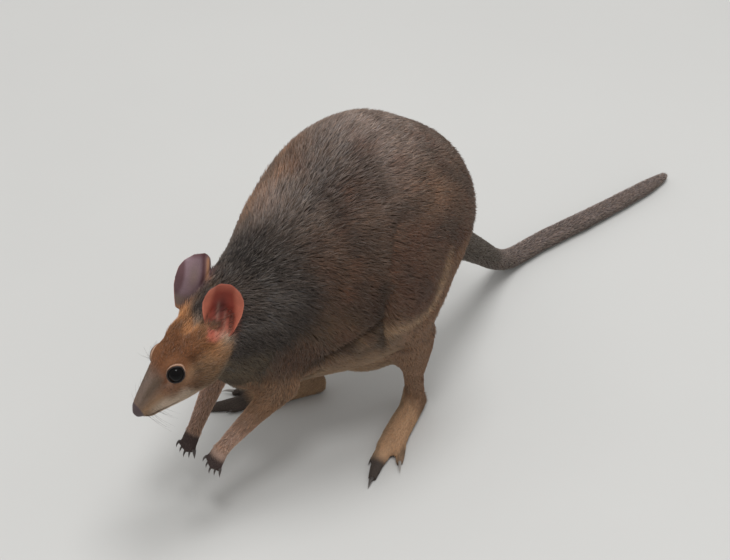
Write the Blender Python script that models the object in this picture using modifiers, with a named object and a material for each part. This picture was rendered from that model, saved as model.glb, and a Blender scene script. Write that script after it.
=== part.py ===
"""A red-legged pademelon, a small forest wallaby, as a life-size model in closed solids.

It leans forward on both hind feet and its tail, with the forepaws lifted. Metres, +Z up. The
animal faces -Y and its own left side is +X. The flesh is lofted over joint positions, fused into
one body, and parted with thin cuts where a person would name its parts.
"""

import bpy
import bmesh
import math
import numpy as np
from mathutils import Matrix, Vector

NAME = "pademelon"
GAP = 0.0003
LEFT = 1.0
RIGHT = -1.0
SIDE_NAMES = {LEFT: "left", RIGHT: "right"}
ACROSS = Vector((1.0, 0.0, 0.0))
UP = Vector((0.0, 0.0, 1.0))

# How finely the flesh is fused, softened and thinned.
BODY_VOXEL = 0.0040
BODY_SOFTEN = 10
FINE_VOXEL = 0.0024
FINE_SOFTEN = 3
FLESH_TRIANGLES = 3200

# Trunk, tail root to nape: y, z, half width, half height above and below the spine's line.
TRUNK_STATIONS = (
    (0.062, 0.176, 0.026, 0.024, 0.022),
    (0.052, 0.190, 0.052, 0.048, 0.036),
    (0.026, 0.206, 0.077, 0.0915, 0.066),
    (-0.012, 0.210, 0.087, 0.1285, 0.106),
    (-0.055, 0.208, 0.091, 0.1325, 0.125),
    (-0.098, 0.204, 0.085, 0.108, 0.113),
    (-0.136, 0.202, 0.068, 0.087, 0.099),
    (-0.168, 0.204, 0.050, 0.070, 0.092),
    (-0.196, 0.207, 0.039, 0.054, 0.080),
    (-0.230, 0.208, 0.028, 0.036, 0.047),
)
POUCH_PLACE = Vector((0.000, -0.031, 0.113))
POUCH_RADII = (0.056, 0.062, 0.052)
GROIN_PLACE = Vector((0.000, 0.014, 0.140))
GROIN_RADII = (0.042, 0.044, 0.044)

# Head: where its axes start, how far it is tipped down, rolled left side up and turned to its
# right, and the sections from nape to nose:
# distance forward, half width, top and bottom, all in the head's own frame.
HEAD_ORIGIN = Vector((0.0118, -0.2200, 0.2055))
HEAD_PITCH = math.radians(33.0)
HEAD_ROLL = math.radians(12.0)
HEAD_TURN = math.radians(6.5)
HEAD_STATIONS = (
    (-0.014, 0.016, 0.018, -0.014),
    (0.000, 0.0245, 0.0290, -0.0220),
    (0.020, 0.0265, 0.0350, -0.0254),
    (0.040, 0.0250, 0.0360, -0.0235),
    (0.056, 0.0215, 0.0330, -0.0185),
    (0.070, 0.0168, 0.0285, -0.0127),
    (0.084, 0.0130, 0.0240, -0.0066),
    (0.094, 0.0098, 0.0205, -0.0000),
    (0.099, 0.0060, 0.0160, 0.0050),
)
# Cheek, brow, back of the skull and the ridge before the ear: place and radii, on each side.
HEAD_MASSES = (
    ((0.026, 0.0150, 0.0000), (0.026, 0.0115, 0.0190)),
    ((0.042, 0.0130, 0.0240), (0.015, 0.0095, 0.0105)),
    ((0.004, 0.0150, 0.0190), (0.014, 0.0110, 0.0160)),
    ((0.017, 0.0130, 0.0265), (0.022, 0.0110, 0.0110)),
)
EYE_PLACE = (0.0460, 0.0150, 0.0215)
EYE_RADIUS = 0.0098
EYE_SEGMENTS = 12
NOSE_PLACE = (0.101, 0.0, 0.0132)
NOSE_RADII = (0.0115, 0.0110, 0.0090)
MOUTH_PLACE = (0.082, 0.0, 0.0005)
MOUTH_TILT = math.radians(14.0)

# Ears: root and tip, the way each opens, and the scoop's size.
EAR_ROOTS = {LEFT: Vector((0.020, -0.225, 0.217)), RIGHT: Vector((-0.020, -0.228, 0.222))}
EAR_TIPS = {LEFT: Vector((0.031, -0.224, 0.273)), RIGHT: Vector((-0.030, -0.208, 0.275))}
EAR_OPENINGS = {LEFT: Vector((0.75, -0.66, 0.0)), RIGHT: Vector((-0.98, 0.15, 0.0))}
EAR_HALF_ARC = 0.0245
EAR_THICKNESS = 0.0018
EAR_ROOT_RADIUS = 0.0085
EAR_SPREAD_RADIUS = 0.0210
EAR_WIDEST_AT = 0.52
EAR_ROOT_SHARE = 0.72
EAR_BOW = 0.004
EAR_ROWS = 10
EAR_COLUMNS = 9

# Hind limbs: hip, knee, ankle, and the foot from its heel to the tip of the long fourth toe.
HIPS = {LEFT: Vector((0.044, 0.012, 0.198)), RIGHT: Vector((-0.044, 0.004, 0.198))}
KNEES = {LEFT: Vector((0.062, -0.030, 0.140)), RIGHT: Vector((-0.064, -0.070, 0.144))}
ANKLES = {LEFT: Vector((0.045, -0.006, 0.027)), RIGHT: Vector((-0.047, -0.060, 0.027))}
TOE_TIPS = {LEFT: Vector((0.087, -0.102, 0.0045)), RIGHT: Vector((-0.095, -0.153, 0.0045))}
HAUNCH_WIDTHS = (0.031, 0.024, 0.018)
HAUNCH_DEPTHS = (0.042, 0.034, 0.026)
SHANK_WIDTHS = (0.0170, 0.0165, 0.0105, 0.0105)
SHANK_DEPTHS = (0.0240, 0.0225, 0.0120, 0.0115)
SOLE_SINK = 0.0022

# Hind foot: share of its length, outward, height, half width and half height at each station.
SOLE = (
    (-0.10, 0.0000, 0.0130, 0.0100, 0.0130),
    (0.10, -0.0005, 0.0130, 0.0112, 0.0140),
    (0.40, -0.0010, 0.0095, 0.0132, 0.0105),
    (0.60, 0.0010, 0.0085, 0.0145, 0.0090),
)
FOURTH_TOE = (
    (0.55, -0.0026, 0.0085, 0.0088, 0.0080),
    (0.78, -0.0026, 0.0070, 0.0066, 0.0068),
    (1.00, 0.0000, 0.0050, 0.0045, 0.0050),
)
FIFTH_TOE = (
    (0.50, 0.0075, 0.0075, 0.0065, 0.0065),
    (0.62, 0.0128, 0.0062, 0.0050, 0.0052),
    (0.72, 0.0160, 0.0048, 0.0038, 0.0044),
)
GROOMING_TOES = (
    (0.56, -0.0068, 0.0075, 0.0046, 0.0050),
    (0.70, -0.0088, 0.0062, 0.0036, 0.0044),
    (0.79, -0.0094, 0.0052, 0.0031, 0.0038),
)
INSTEP_RADIUS = 0.0110

# Forelimbs, lifted clear of the floor.
SHOULDERS = {LEFT: Vector((0.036, -0.158, 0.180)), RIGHT: Vector((-0.036, -0.156, 0.176))}
ELBOWS = {LEFT: Vector((0.043, -0.172, 0.137)), RIGHT: Vector((-0.043, -0.166, 0.122))}
WRISTS = {LEFT: Vector((0.032, -0.238, 0.094)), RIGHT: Vector((-0.025, -0.225, 0.068))}
FINGER_TIPS = {LEFT: Vector((0.030, -0.251, 0.075)), RIGHT: Vector((-0.023, -0.239, 0.051))}

SHOULDER_WIDTHS = (0.0200, 0.0180, 0.0125)
SHOULDER_DEPTHS = (0.0340, 0.0280, 0.0155)
FOREARM_WIDTHS = (0.0150, 0.0108, 0.0082)
FOREARM_DEPTHS = (0.0170, 0.0115, 0.0088)
PALM_WIDTHS = (0.0078, 0.0088)
PALM_DEPTHS = (0.0080, 0.0064)
FINGER_WIDTHS = (0.0028, 0.0023)
FINGER_DEPTHS = (0.0034, 0.0026)
FINGER_PITCH = 0.0042
FINGER_STEP = 0.09
FORE_CLAW_LENGTH = 0.0062
FORE_CLAW_RADIUS = 0.0014
CLAW_INSET = 0.0015
CLAW_STATIONS = 4
CLAW_TAPER = 0.82
CLAW_FLATNESS = 0.8
FORE_CLAW_DROOP = 0.20
HIND_CLAW_DROOP = 0.12

# Hind claws on toes two to five: share of the foot's length, outward, height, length, radius, splay.
HIND_CLAWS = (
    (0.780, -0.0106, 0.0036, 0.0070, 0.0012, 0.0),
    (0.780, -0.0078, 0.0036, 0.0070, 0.0012, 0.0),
    (0.975, 0.0000, 0.0040, 0.0150, 0.0024, 0.1),
    (0.705, 0.0158, 0.0040, 0.0135, 0.0019, 0.45),
)

# Tail: x, y, z, half thickness. The outer three quarters lie along the floor.
TAIL_STATIONS = (
    (0.000, 0.030, 0.182, 0.0250),
    (-0.002, 0.066, 0.156, 0.0215),
    (-0.008, 0.104, 0.122, 0.0170),
    (-0.021, 0.146, 0.080, 0.0142),
    (-0.036, 0.184, 0.040, 0.0126),
    (-0.047, 0.222, 0.0130, 0.0120),
    (-0.047, 0.268, 0.0102, 0.0115),
    (-0.040, 0.338, 0.0096, 0.0110),
    (-0.036, 0.414, 0.0080, 0.0094),
    (-0.037, 0.454, 0.0058, 0.0070),
)
TAIL_CUTS = (0.24, 0.42, 0.62, 0.81)

# Where the flesh is parted.
REGION_SEGMENTS = 12
FLAT_ANGLE = math.radians(2.5)
FOOT_TOP = 0.033
HEAD_CUT = Vector((0.0, -0.226, 0.200))
HEAD_CUT_NORMAL = Vector((0.0, -0.98, 0.18))
NECK_CUT = -0.188
CHEST_CUT = -0.118
BELLY_CUT = -0.010
POUCH_MARGIN = 0.0040

# Colour and roughness of each kind of surface.
RUFOUS = ((0.26, 0.10, 0.04), 0.85)
CHARCOAL = ((0.07, 0.06, 0.055), 0.9)
GREY_BROWN = ((0.12, 0.08, 0.06), 0.9)
WARM_BROWN = ((0.19, 0.09, 0.05), 0.9)
PALE_BUFF = ((0.38, 0.29, 0.21), 0.9)
TAN = ((0.34, 0.19, 0.10), 0.85)
PALE_TAIL = ((0.36, 0.29, 0.25), 0.85)
DARK_BROWN = ((0.06, 0.035, 0.03), 0.8)
NOSE_SKIN = ((0.05, 0.03, 0.035), 0.45)
EAR_SKIN = ((0.35, 0.13, 0.10), 0.6)
CLAW = ((0.05, 0.045, 0.04), 0.35)
EYE_BLACK = ((0.006, 0.005, 0.005), 0.05)


def collection(name):
    """A collection of the given name under the scene, made on first use."""
    found = bpy.data.collections.get(name)
    if found is None:
        found = bpy.data.collections.new(name)
        bpy.context.scene.collection.children.link(found)
    return found


def add_object(name, mesh, group):
    """An object for the mesh, in the named collection."""
    made = bpy.data.objects.new(name, mesh)
    collection(group).objects.link(made)
    return made


def smooth_rows(rows, count):
    """Catmull-Rom samples through rows of numbers."""
    values = np.array(rows, dtype=float)
    first = 2.0 * values[0] - values[1]
    last = 2.0 * values[-1] - values[-2]
    padded = np.vstack((first, values, last))
    samples = []
    for step in np.linspace(0.0, len(values) - 1.0, count):
        start = min(int(step), len(values) - 2)
        t = step - start
        p0, p1, p2, p3 = padded[start:start + 4]
        samples.append(0.5 * (2.0 * p1 + (p2 - p0) * t
                              + (2.0 * p0 - 5.0 * p1 + 4.0 * p2 - p3) * t * t
                              + (3.0 * p1 - p0 - 3.0 * p2 + p3) * t ** 3))
    return np.array(samples)


def loft(rows, across=ACROSS, ring_count=24, side_count=20, cap=0.5):
    """A closed tube over rows of x, y, z, half width, height above and height below.

    Its ends are rounded out by `cap` times the end section's size.
    """
    samples = smooth_rows(rows, ring_count)
    centres = samples[:, :3]
    tangents = np.gradient(centres, axis=0)
    mesh = bmesh.new()
    rings = []

    def ring(centre, tangent, width, above, below):
        along = Vector(tangent).normalized()
        side = (across - across.dot(along) * along).normalized()
        upward = along.cross(side)
        points = []
        for step in range(side_count):
            angle = 2.0 * math.pi * step / side_count
            height = math.sin(angle)
            reach = above if height > 0.0 else below
            points.append(mesh.verts.new(Vector(centre) + side * width * math.cos(angle)
                                         + upward * reach * height))
        rings.append(points)

    def end(index, sign):
        along = Vector(tangents[index]).normalized() * sign
        width, above, below = samples[index, 3:6]
        depth = cap * (width + above + below) / 3.0
        steps = (0.35, 0.7) if sign > 0.0 else (0.7, 0.35)
        for turn in steps:
            shrink = math.sqrt(1.0 - turn * turn)
            centre = Vector(centres[index]) + along * depth * turn
            ring(centre, tangents[index], width * shrink, above * shrink, below * shrink)
        return Vector(centres[index]) + along * depth

    start_pole = end(0, -1.0)
    for index in range(ring_count):
        ring(centres[index], tangents[index], *samples[index, 3:6])
    end_pole = end(ring_count - 1, 1.0)
    for lower, upper in zip(rings, rings[1:]):
        for step in range(side_count):
            after = (step + 1) % side_count
            mesh.faces.new((lower[step], lower[after], upper[after], upper[step]))
    for points, place in ((rings[0], start_pole), (rings[-1], end_pole)):
        pole = mesh.verts.new(place)
        for step in range(side_count):
            mesh.faces.new((points[step], points[(step + 1) % side_count], pole))
    bmesh.ops.recalc_face_normals(mesh, faces=mesh.faces)
    made = bpy.data.meshes.new("loft")
    mesh.to_mesh(made)
    mesh.free()
    return made


def limb(points, widths, depths, across=ACROSS, **options):
    """A loft over joint positions with a half width and a half depth at each."""
    rows = [(*point, width, depth, depth) for point, width, depth in zip(points, widths, depths)]
    return loft(rows, across, **options)


def ellipsoid(centre, radii, turn=Matrix.Identity(3), segments=24):
    """A closed ellipsoid about a point, turned by a rotation."""
    mesh = bmesh.new()
    bmesh.ops.create_uvsphere(mesh, u_segments=segments, v_segments=segments // 2, radius=1.0)
    place = Matrix.Translation(centre) @ turn.to_4x4() @ Matrix.Diagonal((*radii, 1.0))
    bmesh.ops.transform(mesh, matrix=place, verts=mesh.verts)
    made = bpy.data.meshes.new("ellipsoid")
    mesh.to_mesh(made)
    mesh.free()
    return made


def block(centre, halves, turn=Matrix.Identity(3)):
    """A closed box about a point, turned by a rotation."""
    mesh = bmesh.new()
    bmesh.ops.create_cube(mesh, size=2.0)
    place = Matrix.Translation(centre) @ turn.to_4x4() @ Matrix.Diagonal((*halves, 1.0))
    bmesh.ops.transform(mesh, matrix=place, verts=mesh.verts)
    made = bpy.data.meshes.new("block")
    mesh.to_mesh(made)
    mesh.free()
    return made


def joined(meshes):
    """One mesh holding all the given ones, which may pass through each other."""
    whole = bmesh.new()
    for mesh in meshes:
        whole.from_mesh(mesh)
    made = bpy.data.meshes.new("joined")
    whole.to_mesh(made)
    whole.free()
    return made


def evaluated(subject, *modifiers):
    """The mesh after the given modifiers, each a type and its settings."""
    holder = add_object("workpiece", subject, "cutters")
    for kind, settings in modifiers:
        modifier = holder.modifiers.new(kind.lower(), kind)
        for key, value in settings.items():
            setattr(modifier, key, value)
    bpy.context.view_layer.update()
    made = bpy.data.meshes.new_from_object(
        holder.evaluated_get(bpy.context.evaluated_depsgraph_get()))
    bpy.data.objects.remove(holder)
    return made


def boolean(subject, cutter, operation):
    """The exact Boolean of two closed meshes."""
    holder = add_object("cutter", cutter, "cutters")
    holder.hide_render = True
    holder.display_type = "WIRE"
    made = evaluated(subject, ("BOOLEAN", {"operation": operation, "solver": "EXACT",
                                           "object": holder}))
    bpy.data.objects.remove(holder)
    return made


def fused(meshes, voxel, soften):
    """The meshes melted into one closed skin of small quads, with softened creases."""
    return evaluated(joined(meshes),
                     ("REMESH", {"mode": "VOXEL", "voxel_size": voxel}),
                     ("SMOOTH", {"factor": 0.5, "iterations": soften}))


def thinned(mesh, triangles):
    """The mesh with about the given number of triangles."""
    mesh.calc_loop_triangles()
    ratio = triangles / len(mesh.loop_triangles)
    return evaluated(mesh, ("DECIMATE", {"decimate_type": "COLLAPSE", "ratio": ratio}))


def facing(direction, hint=UP):
    """A rotation whose Z axis runs along the direction."""
    z_axis = Vector(direction).normalized()
    x_axis = hint.cross(z_axis)
    if x_axis.length < 1e-6:
        x_axis = ACROSS.cross(z_axis)
    x_axis.normalize()
    y_axis = z_axis.cross(x_axis)
    return Matrix((x_axis, y_axis, z_axis)).transposed()


def head_axes():
    """The head's forward, left and upward directions as columns."""
    level = Vector((0.0, -math.cos(HEAD_PITCH), -math.sin(HEAD_PITCH)))
    upright = Vector((0.0, -math.sin(HEAD_PITCH), math.cos(HEAD_PITCH)))
    leaned = math.cos(HEAD_ROLL) * ACROSS + math.sin(HEAD_ROLL) * upright
    upward = math.cos(HEAD_ROLL) * upright - math.sin(HEAD_ROLL) * ACROSS
    forward = math.cos(HEAD_TURN) * level - math.sin(HEAD_TURN) * leaned
    left = math.cos(HEAD_TURN) * leaned + math.sin(HEAD_TURN) * level
    return Matrix((forward, left, upward)).transposed()


def head_point(forward, left, upward):
    """A place given in the head's frame, in the model's frame."""
    return HEAD_ORIGIN + head_axes() @ Vector((forward, left, upward))


def trunk_forms():
    """The trunk and neck, with the hanging pouch and the groin behind it."""
    rows = [(0.0, *row) for row in TRUNK_STATIONS]
    return [loft(rows, ring_count=36, side_count=28), ellipsoid(POUCH_PLACE, POUCH_RADII),
            ellipsoid(GROIN_PLACE, GROIN_RADII)]


def tail_forms():
    """The tail, from the rump to its blunt tip."""
    rows = [(x, y, z, half, half, half) for x, y, z, half in TAIL_STATIONS]
    return [loft(rows, ring_count=44, side_count=14)]


def leg_forms(side):
    """Haunch, knee and shank of one hind leg."""
    hip, knee, ankle = HIPS[side], KNEES[side], ANKLES[side]
    thigh_top = hip + Vector((side * 0.002, -0.004, 0.010))
    thigh_mid = hip.lerp(knee, 0.5) + Vector((side * 0.004, -0.007, 0.0))
    haunch = limb((thigh_top, thigh_mid, knee + Vector((0.0, -0.002, 0.0))),
                  HAUNCH_WIDTHS, HAUNCH_DEPTHS)
    calf = knee.lerp(ankle, 0.32) + Vector((0.0, 0.004, 0.0))
    shin = knee.lerp(ankle, 0.72) + Vector((0.0, 0.001, 0.0))
    shank = limb((knee + Vector((0.0, 0.004, 0.004)), calf, shin, ankle),
                 SHANK_WIDTHS, SHANK_DEPTHS)
    return [haunch, shank]


def foot_forms(side):
    """One long hind foot: heel, instep, and the toes spread at its end."""
    ankle = ANKLES[side]
    base, heading, outward, length = foot_frame(side)
    base.z = -SOLE_SINK

    def spot(along, aside, height):
        return base + heading * along * length + outward * aside + UP * height

    forms = []
    for stations, ring_count in ((SOLE, 24), (FOURTH_TOE, 12), (FIFTH_TOE, 12),
                                 (GROOMING_TOES, 12)):
        points = [spot(along, aside, height) for along, aside, height, _, _ in stations]
        widths = [station[3] for station in stations]
        heights = [station[4] for station in stations]
        forms.append(limb(points, widths, heights, outward, ring_count=ring_count))
    radii = (INSTEP_RADIUS, INSTEP_RADIUS)
    forms.append(limb((ankle, spot(0.10, 0.0, 0.018)), radii, radii, outward))
    return forms


def foot_frame(side):
    """A hind foot's ankle point at the sole, its heading, outward direction and length."""
    ankle, tip = ANKLES[side], TOE_TIPS[side]
    heading = Vector((tip.x - ankle.x, tip.y - ankle.y, 0.0))
    length = heading.length
    heading.normalize()
    outward = Vector((-heading.y, heading.x, 0.0)) * side
    return Vector((ankle.x, ankle.y, 0.0)), heading, outward, length


def hind_claws(side):
    """Root, heading, length and radius of the claws on toes two to five."""
    base, heading, outward, length = foot_frame(side)
    claws = []
    for along, aside, height, reach, radius, splay in HIND_CLAWS:
        root = base + heading * along * length + outward * aside + UP * height
        claws.append((root, (heading + outward * splay).normalized(), reach, radius))
    return claws


def fore_claws(side):
    """Root, heading, length and radius of the claws on the five fingers."""
    claws = []
    for root, end in finger_lines(side):
        along = (end - root).normalized()
        claws.append((end - along * CLAW_INSET, along, FORE_CLAW_LENGTH, FORE_CLAW_RADIUS))
    return claws


def arm_forms(side):
    """Shoulder, upper arm and forearm of one forelimb."""
    shoulder, elbow, wrist = SHOULDERS[side], ELBOWS[side], WRISTS[side]
    upper = limb((shoulder + Vector((-side * 0.006, 0.006, 0.018)), shoulder, elbow),
                 SHOULDER_WIDTHS, SHOULDER_DEPTHS)
    middle = elbow.lerp(wrist, 0.45)
    fore = limb((elbow + Vector((0.0, 0.004, 0.002)), middle, wrist),
                FOREARM_WIDTHS, FOREARM_DEPTHS)
    return [upper, fore]


def paw_frame(side):
    """A forepaw's direction, its outward direction and its length."""
    wrist, tip = WRISTS[side], FINGER_TIPS[side]
    along = (tip - wrist).normalized()
    outward = (ACROSS - ACROSS.dot(along) * along).normalized()
    return along, outward, (tip - wrist).length


def finger_lines(side):
    """Where each of the five fingers starts and ends."""
    along, outward, length = paw_frame(side)
    wrist = WRISTS[side]
    lines = []
    for finger in range(5):
        spread = (finger - 2) * FINGER_PITCH
        reach = 1.0 - FINGER_STEP * abs(finger - 2)
        lines.append((wrist + along * length * 0.5 + outward * spread * 0.8,
                      wrist + along * length * reach + outward * spread * 1.3))
    return lines


def paw_forms(side):
    """One forepaw with its five fingers."""
    wrist = WRISTS[side]
    along, outward, length = paw_frame(side)
    palm = limb((wrist, wrist + along * length * 0.55), PALM_WIDTHS, PALM_DEPTHS, outward,
                ring_count=10)
    forms = [palm]
    for root, end in finger_lines(side):
        forms.append(limb((root, end), FINGER_WIDTHS, FINGER_DEPTHS, outward,
                          ring_count=6, side_count=10))
    return forms


def head_forms():
    """Skull, muzzle, cheeks and brow."""
    rows = []
    for forward, width, top, bottom in HEAD_STATIONS:
        middle = 0.5 * (top + bottom)
        half = 0.5 * (top - bottom)
        rows.append((*head_point(forward, 0.0, middle), width, half, half))
    forms = [loft(rows, head_axes().col[1], ring_count=34, side_count=24)]
    for side in (LEFT, RIGHT):
        for (forward, left, upward), radii in HEAD_MASSES:
            forms.append(ellipsoid(head_point(forward, side * left, upward), radii, head_axes()))
    return forms


def ear_mesh(side):
    """One scoop-shaped ear, rolled into a tube at its root and spread at its rounded tip."""
    root, tip = EAR_ROOTS[side], EAR_TIPS[side]
    along = (tip - root).normalized()
    opening = EAR_OPENINGS[side]
    opening = (opening - opening.dot(along) * along).normalized()
    across = along.cross(opening)
    length = (tip - root).length
    mesh = bmesh.new()
    grid = []
    for row in range(EAR_ROWS):
        u = row / (EAR_ROWS - 1)
        if u < EAR_WIDEST_AT:
            rise = math.sin(0.5 * math.pi * u / EAR_WIDEST_AT)
            arc = EAR_HALF_ARC * (EAR_ROOT_SHARE + (1.0 - EAR_ROOT_SHARE) * rise)
        else:
            fall = (u - EAR_WIDEST_AT) / (1.015 - EAR_WIDEST_AT)
            arc = EAR_HALF_ARC * math.sqrt(1.0 - fall * fall)
        radius = EAR_ROOT_RADIUS + (EAR_SPREAD_RADIUS - EAR_ROOT_RADIUS) * min(1.0, u * 1.6)
        bow = EAR_BOW * math.sin(math.pi * u)
        line = []
        for column in range(EAR_COLUMNS):
            v = 2.0 * column / (EAR_COLUMNS - 1) - 1.0
            angle = v * arc / radius
            place = (root + along * (length * u) + across * (radius * math.sin(angle))
                     + opening * (radius * (0.55 - math.cos(angle)) - bow))
            line.append(mesh.verts.new(place))
        grid.append(line)
    for lower, upper in zip(grid, grid[1:]):
        for column in range(EAR_COLUMNS - 1):
            mesh.faces.new((lower[column], lower[column + 1], upper[column + 1], upper[column]))
    sheet = bpy.data.meshes.new("ear")
    mesh.to_mesh(sheet)
    mesh.free()
    return evaluated(sheet, ("SOLIDIFY", {"thickness": EAR_THICKNESS, "offset": 0.0}))


def claw_mesh(root, heading, length, radius, droop):
    """A tapering claw from inside a toe, bending down towards its point."""
    rows = []
    for step in range(CLAW_STATIONS):
        t = step / (CLAW_STATIONS - 1)
        point = root + heading * length * t - UP * length * droop * t * t
        half = radius * (1.0 - CLAW_TAPER * t)
        rows.append((*point, half * CLAW_FLATNESS, half, half))
    outward = UP.cross(heading).normalized()
    return loft(rows, outward, ring_count=3, side_count=6, cap=0.4)


def build_flesh():
    """The whole animal's flesh, fused, softened, thinned and trimmed flat at the floor."""
    body = fused(trunk_forms() + tail_forms() + leg_forms(LEFT) + leg_forms(RIGHT)
                 + arm_forms(LEFT) + arm_forms(RIGHT), BODY_VOXEL, BODY_SOFTEN)
    fine = [body] + head_forms()
    for side in (LEFT, RIGHT):
        fine += foot_forms(side) + paw_forms(side)
    flesh = thinned(fused(fine, FINE_VOXEL, FINE_SOFTEN), FLESH_TRIANGLES)
    return boolean(flesh, block(Vector((0.0, 0.0, -0.05)), (0.6, 0.8, 0.05)), "DIFFERENCE")


def beyond(place, direction, breadth, depth, hint=UP):
    """A cutter's centre, half sizes and turn, filling the space past a plane."""
    direction = Vector(direction).normalized()
    return (place + direction * depth, (breadth, breadth, depth), facing(direction, hint))


def region(centre, radii, turn=Matrix.Identity(3)):
    """A rounded cutter of few faces."""
    return ellipsoid(centre, radii, turn, segments=REGION_SEGMENTS)


def carved(flesh, name, shape, centre, halves, turn, colour):
    """The node inside a region is made, and the flesh left outside it is returned."""
    grown = tuple(half + GAP for half in halves)
    node = boolean(flesh, shape(centre, halves, turn), "INTERSECT")
    rest = boolean(flesh, shape(centre, grown, turn), "DIFFERENCE")
    finished(name, merged_flats(node), colour)
    return rest


def merged_flats(mesh):
    """The mesh with neighbouring faces that lie nearly in one plane merged."""
    return evaluated(mesh, ("DECIMATE", {"decimate_type": "DISSOLVE",
                                         "angle_limit": FLAT_ANGLE}),
                     ("TRIANGULATE", {"min_vertices": 4}))


def finished(name, mesh, colour):
    """A node with its origin at its middle and its own Principled material, shaded smooth."""
    places = [vertex.co for vertex in mesh.vertices]
    lowest = Vector([min(place[axis] for place in places) for axis in range(3)])
    highest = Vector([max(place[axis] for place in places) for axis in range(3)])
    middle = lowest.lerp(highest, 0.5)
    mesh.transform(Matrix.Translation(-middle))
    mesh.name = name
    made = add_object(name, mesh, NAME)
    made.location = middle
    shade, roughness = colour
    material = bpy.data.materials.new(name)
    material.use_nodes = True
    surface = material.node_tree.nodes["Principled BSDF"]
    surface.inputs["Base Color"].default_value = (*shade, 1.0)
    surface.inputs["Roughness"].default_value = roughness
    surface.inputs["Metallic"].default_value = 0.0
    mesh.materials.clear()
    mesh.materials.append(material)
    mesh.shade_smooth()
    return made


def tail_cut(share):
    """A place on the tail's line at a share of its run, and the way the tail heads there."""
    rows = smooth_rows(TAIL_STATIONS, 101)
    index = int(round(share * 100.0))
    heading = rows[min(index + 1, 100), :3] - rows[index - 1, :3]
    return Vector(rows[index, :3]), Vector(heading)


def part_tail(flesh):
    """The tail in lengths, cut square to its run, from the tip inwards."""
    for number in range(len(TAIL_CUTS), 0, -1):
        place, heading = tail_cut(TAIL_CUTS[number - 1])
        flesh = carved(flesh, f"tail_{number}", block, *beyond(place, heading, 0.055, 0.16),
                       GREY_BROWN if number < 3 else PALE_TAIL)
    return flesh


def part_pouch(flesh):
    """The hanging pouch."""
    radii = tuple(radius + POUCH_MARGIN for radius in POUCH_RADII)
    return carved(flesh, "pouch", region, POUCH_PLACE, radii, Matrix.Identity(3), PALE_BUFF)


def part_hind_limb(flesh, side):
    """One hind foot, shank and thigh."""
    label = SIDE_NAMES[side]
    hip, knee, ankle = HIPS[side], KNEES[side], ANKLES[side]
    tip = TOE_TIPS[side]
    middle = ankle.lerp(tip, 0.5)
    flesh = carved(flesh, "foot_" + label, block,
                   Vector((middle.x, middle.y, FOOT_TOP - 0.05)), (0.060, 0.092, 0.05),
                   Matrix.Identity(3), TAN)
    flesh = carved(flesh, "shank_" + label, block,
                   *beyond(knee.lerp(ankle, 0.16), ankle - knee, 0.028, 0.07), PALE_BUFF)
    axis = knee - hip
    centre = hip.lerp(knee, 0.42) + ACROSS * side * 0.028
    return carved(flesh, "thigh_" + label, region, centre, (0.052, 0.046, 0.074),
                  facing(axis, ACROSS), WARM_BROWN)


def part_forelimb(flesh, side):
    """One forepaw, forearm and upper arm."""
    label = SIDE_NAMES[side]
    shoulder, elbow, wrist = SHOULDERS[side], ELBOWS[side], WRISTS[side]
    flesh = carved(flesh, "paw_" + label, block,
                   *beyond(wrist, FINGER_TIPS[side] - wrist, 0.020, 0.030), DARK_BROWN)
    flesh = carved(flesh, "forearm_" + label, block,
                   *beyond(elbow.lerp(wrist, 0.15), wrist - elbow, 0.024, 0.050), TAN)
    centre = shoulder.lerp(elbow, 0.55) + ACROSS * side * 0.010
    return carved(flesh, "upper_arm_" + label, region, centre, (0.028, 0.031, 0.046),
                  facing(elbow - shoulder, ACROSS), WARM_BROWN)


def part_head(flesh):
    """The nose pad, the lower jaw and the rest of the head."""
    flesh = carved(flesh, "nose", region, head_point(*NOSE_PLACE), NOSE_RADII, head_axes(),
                   NOSE_SKIN)
    mouth_turn = head_axes() @ Matrix.Rotation(MOUTH_TILT, 3, "Y")
    mouth = head_point(*MOUTH_PLACE)
    jaw_centre = mouth + mouth_turn @ Vector((0.0, 0.0, -0.020))
    flesh = carved(flesh, "lower_jaw", block, jaw_centre, (0.030, 0.030, 0.020), mouth_turn,
                   PALE_BUFF)
    return carved(flesh, "head", block, *beyond(HEAD_CUT, HEAD_CUT_NORMAL, 0.085, 0.08), RUFOUS)


def part_trunk(flesh):
    """Neck, chest, belly and rump, from the front backwards."""
    forward = Vector((0.0, -1.0, 0.0))
    for name, place, colour in (("neck", NECK_CUT, CHARCOAL), ("chest", CHEST_CUT, CHARCOAL),
                                ("belly", BELLY_CUT, GREY_BROWN)):
        flesh = carved(flesh, name, block, *beyond(Vector((0.0, place, 0.2)), forward, 0.25, 0.2),
                       colour)
    finished("rump", merged_flats(flesh), WARM_BROWN)


def seated(mesh, swollen):
    """A piece trimmed where it enters the flesh, clear of it by the gap."""
    return boolean(mesh, swollen.copy(), "DIFFERENCE")


def add_ears(swollen):
    """Both ears, each trimmed at its root to sit on the head."""
    for side in (LEFT, RIGHT):
        finished("ear_" + SIDE_NAMES[side], seated(ear_mesh(side), swollen), EAR_SKIN)


def add_claws(swollen):
    """Four claws on each hind foot and five on each forepaw."""
    for side in (LEFT, RIGHT):
        label = SIDE_NAMES[side]
        for toe, claw in enumerate(hind_claws(side), start=2):
            mesh = seated(claw_mesh(*claw, HIND_CLAW_DROOP), swollen)
            finished(f"hind_claw_{label}_{toe}", mesh, CLAW)
        for digit, claw in enumerate(fore_claws(side), start=1):
            mesh = seated(claw_mesh(*claw, FORE_CLAW_DROOP), swollen)
            finished(f"fore_claw_{label}_{digit}", mesh, CLAW)


def eyeball(side, radius):
    """A sphere at one eye's place."""
    forward, left, upward = EYE_PLACE
    place = head_point(forward, side * left, upward)
    return ellipsoid(place, (radius,) * 3, segments=EYE_SEGMENTS)


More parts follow.
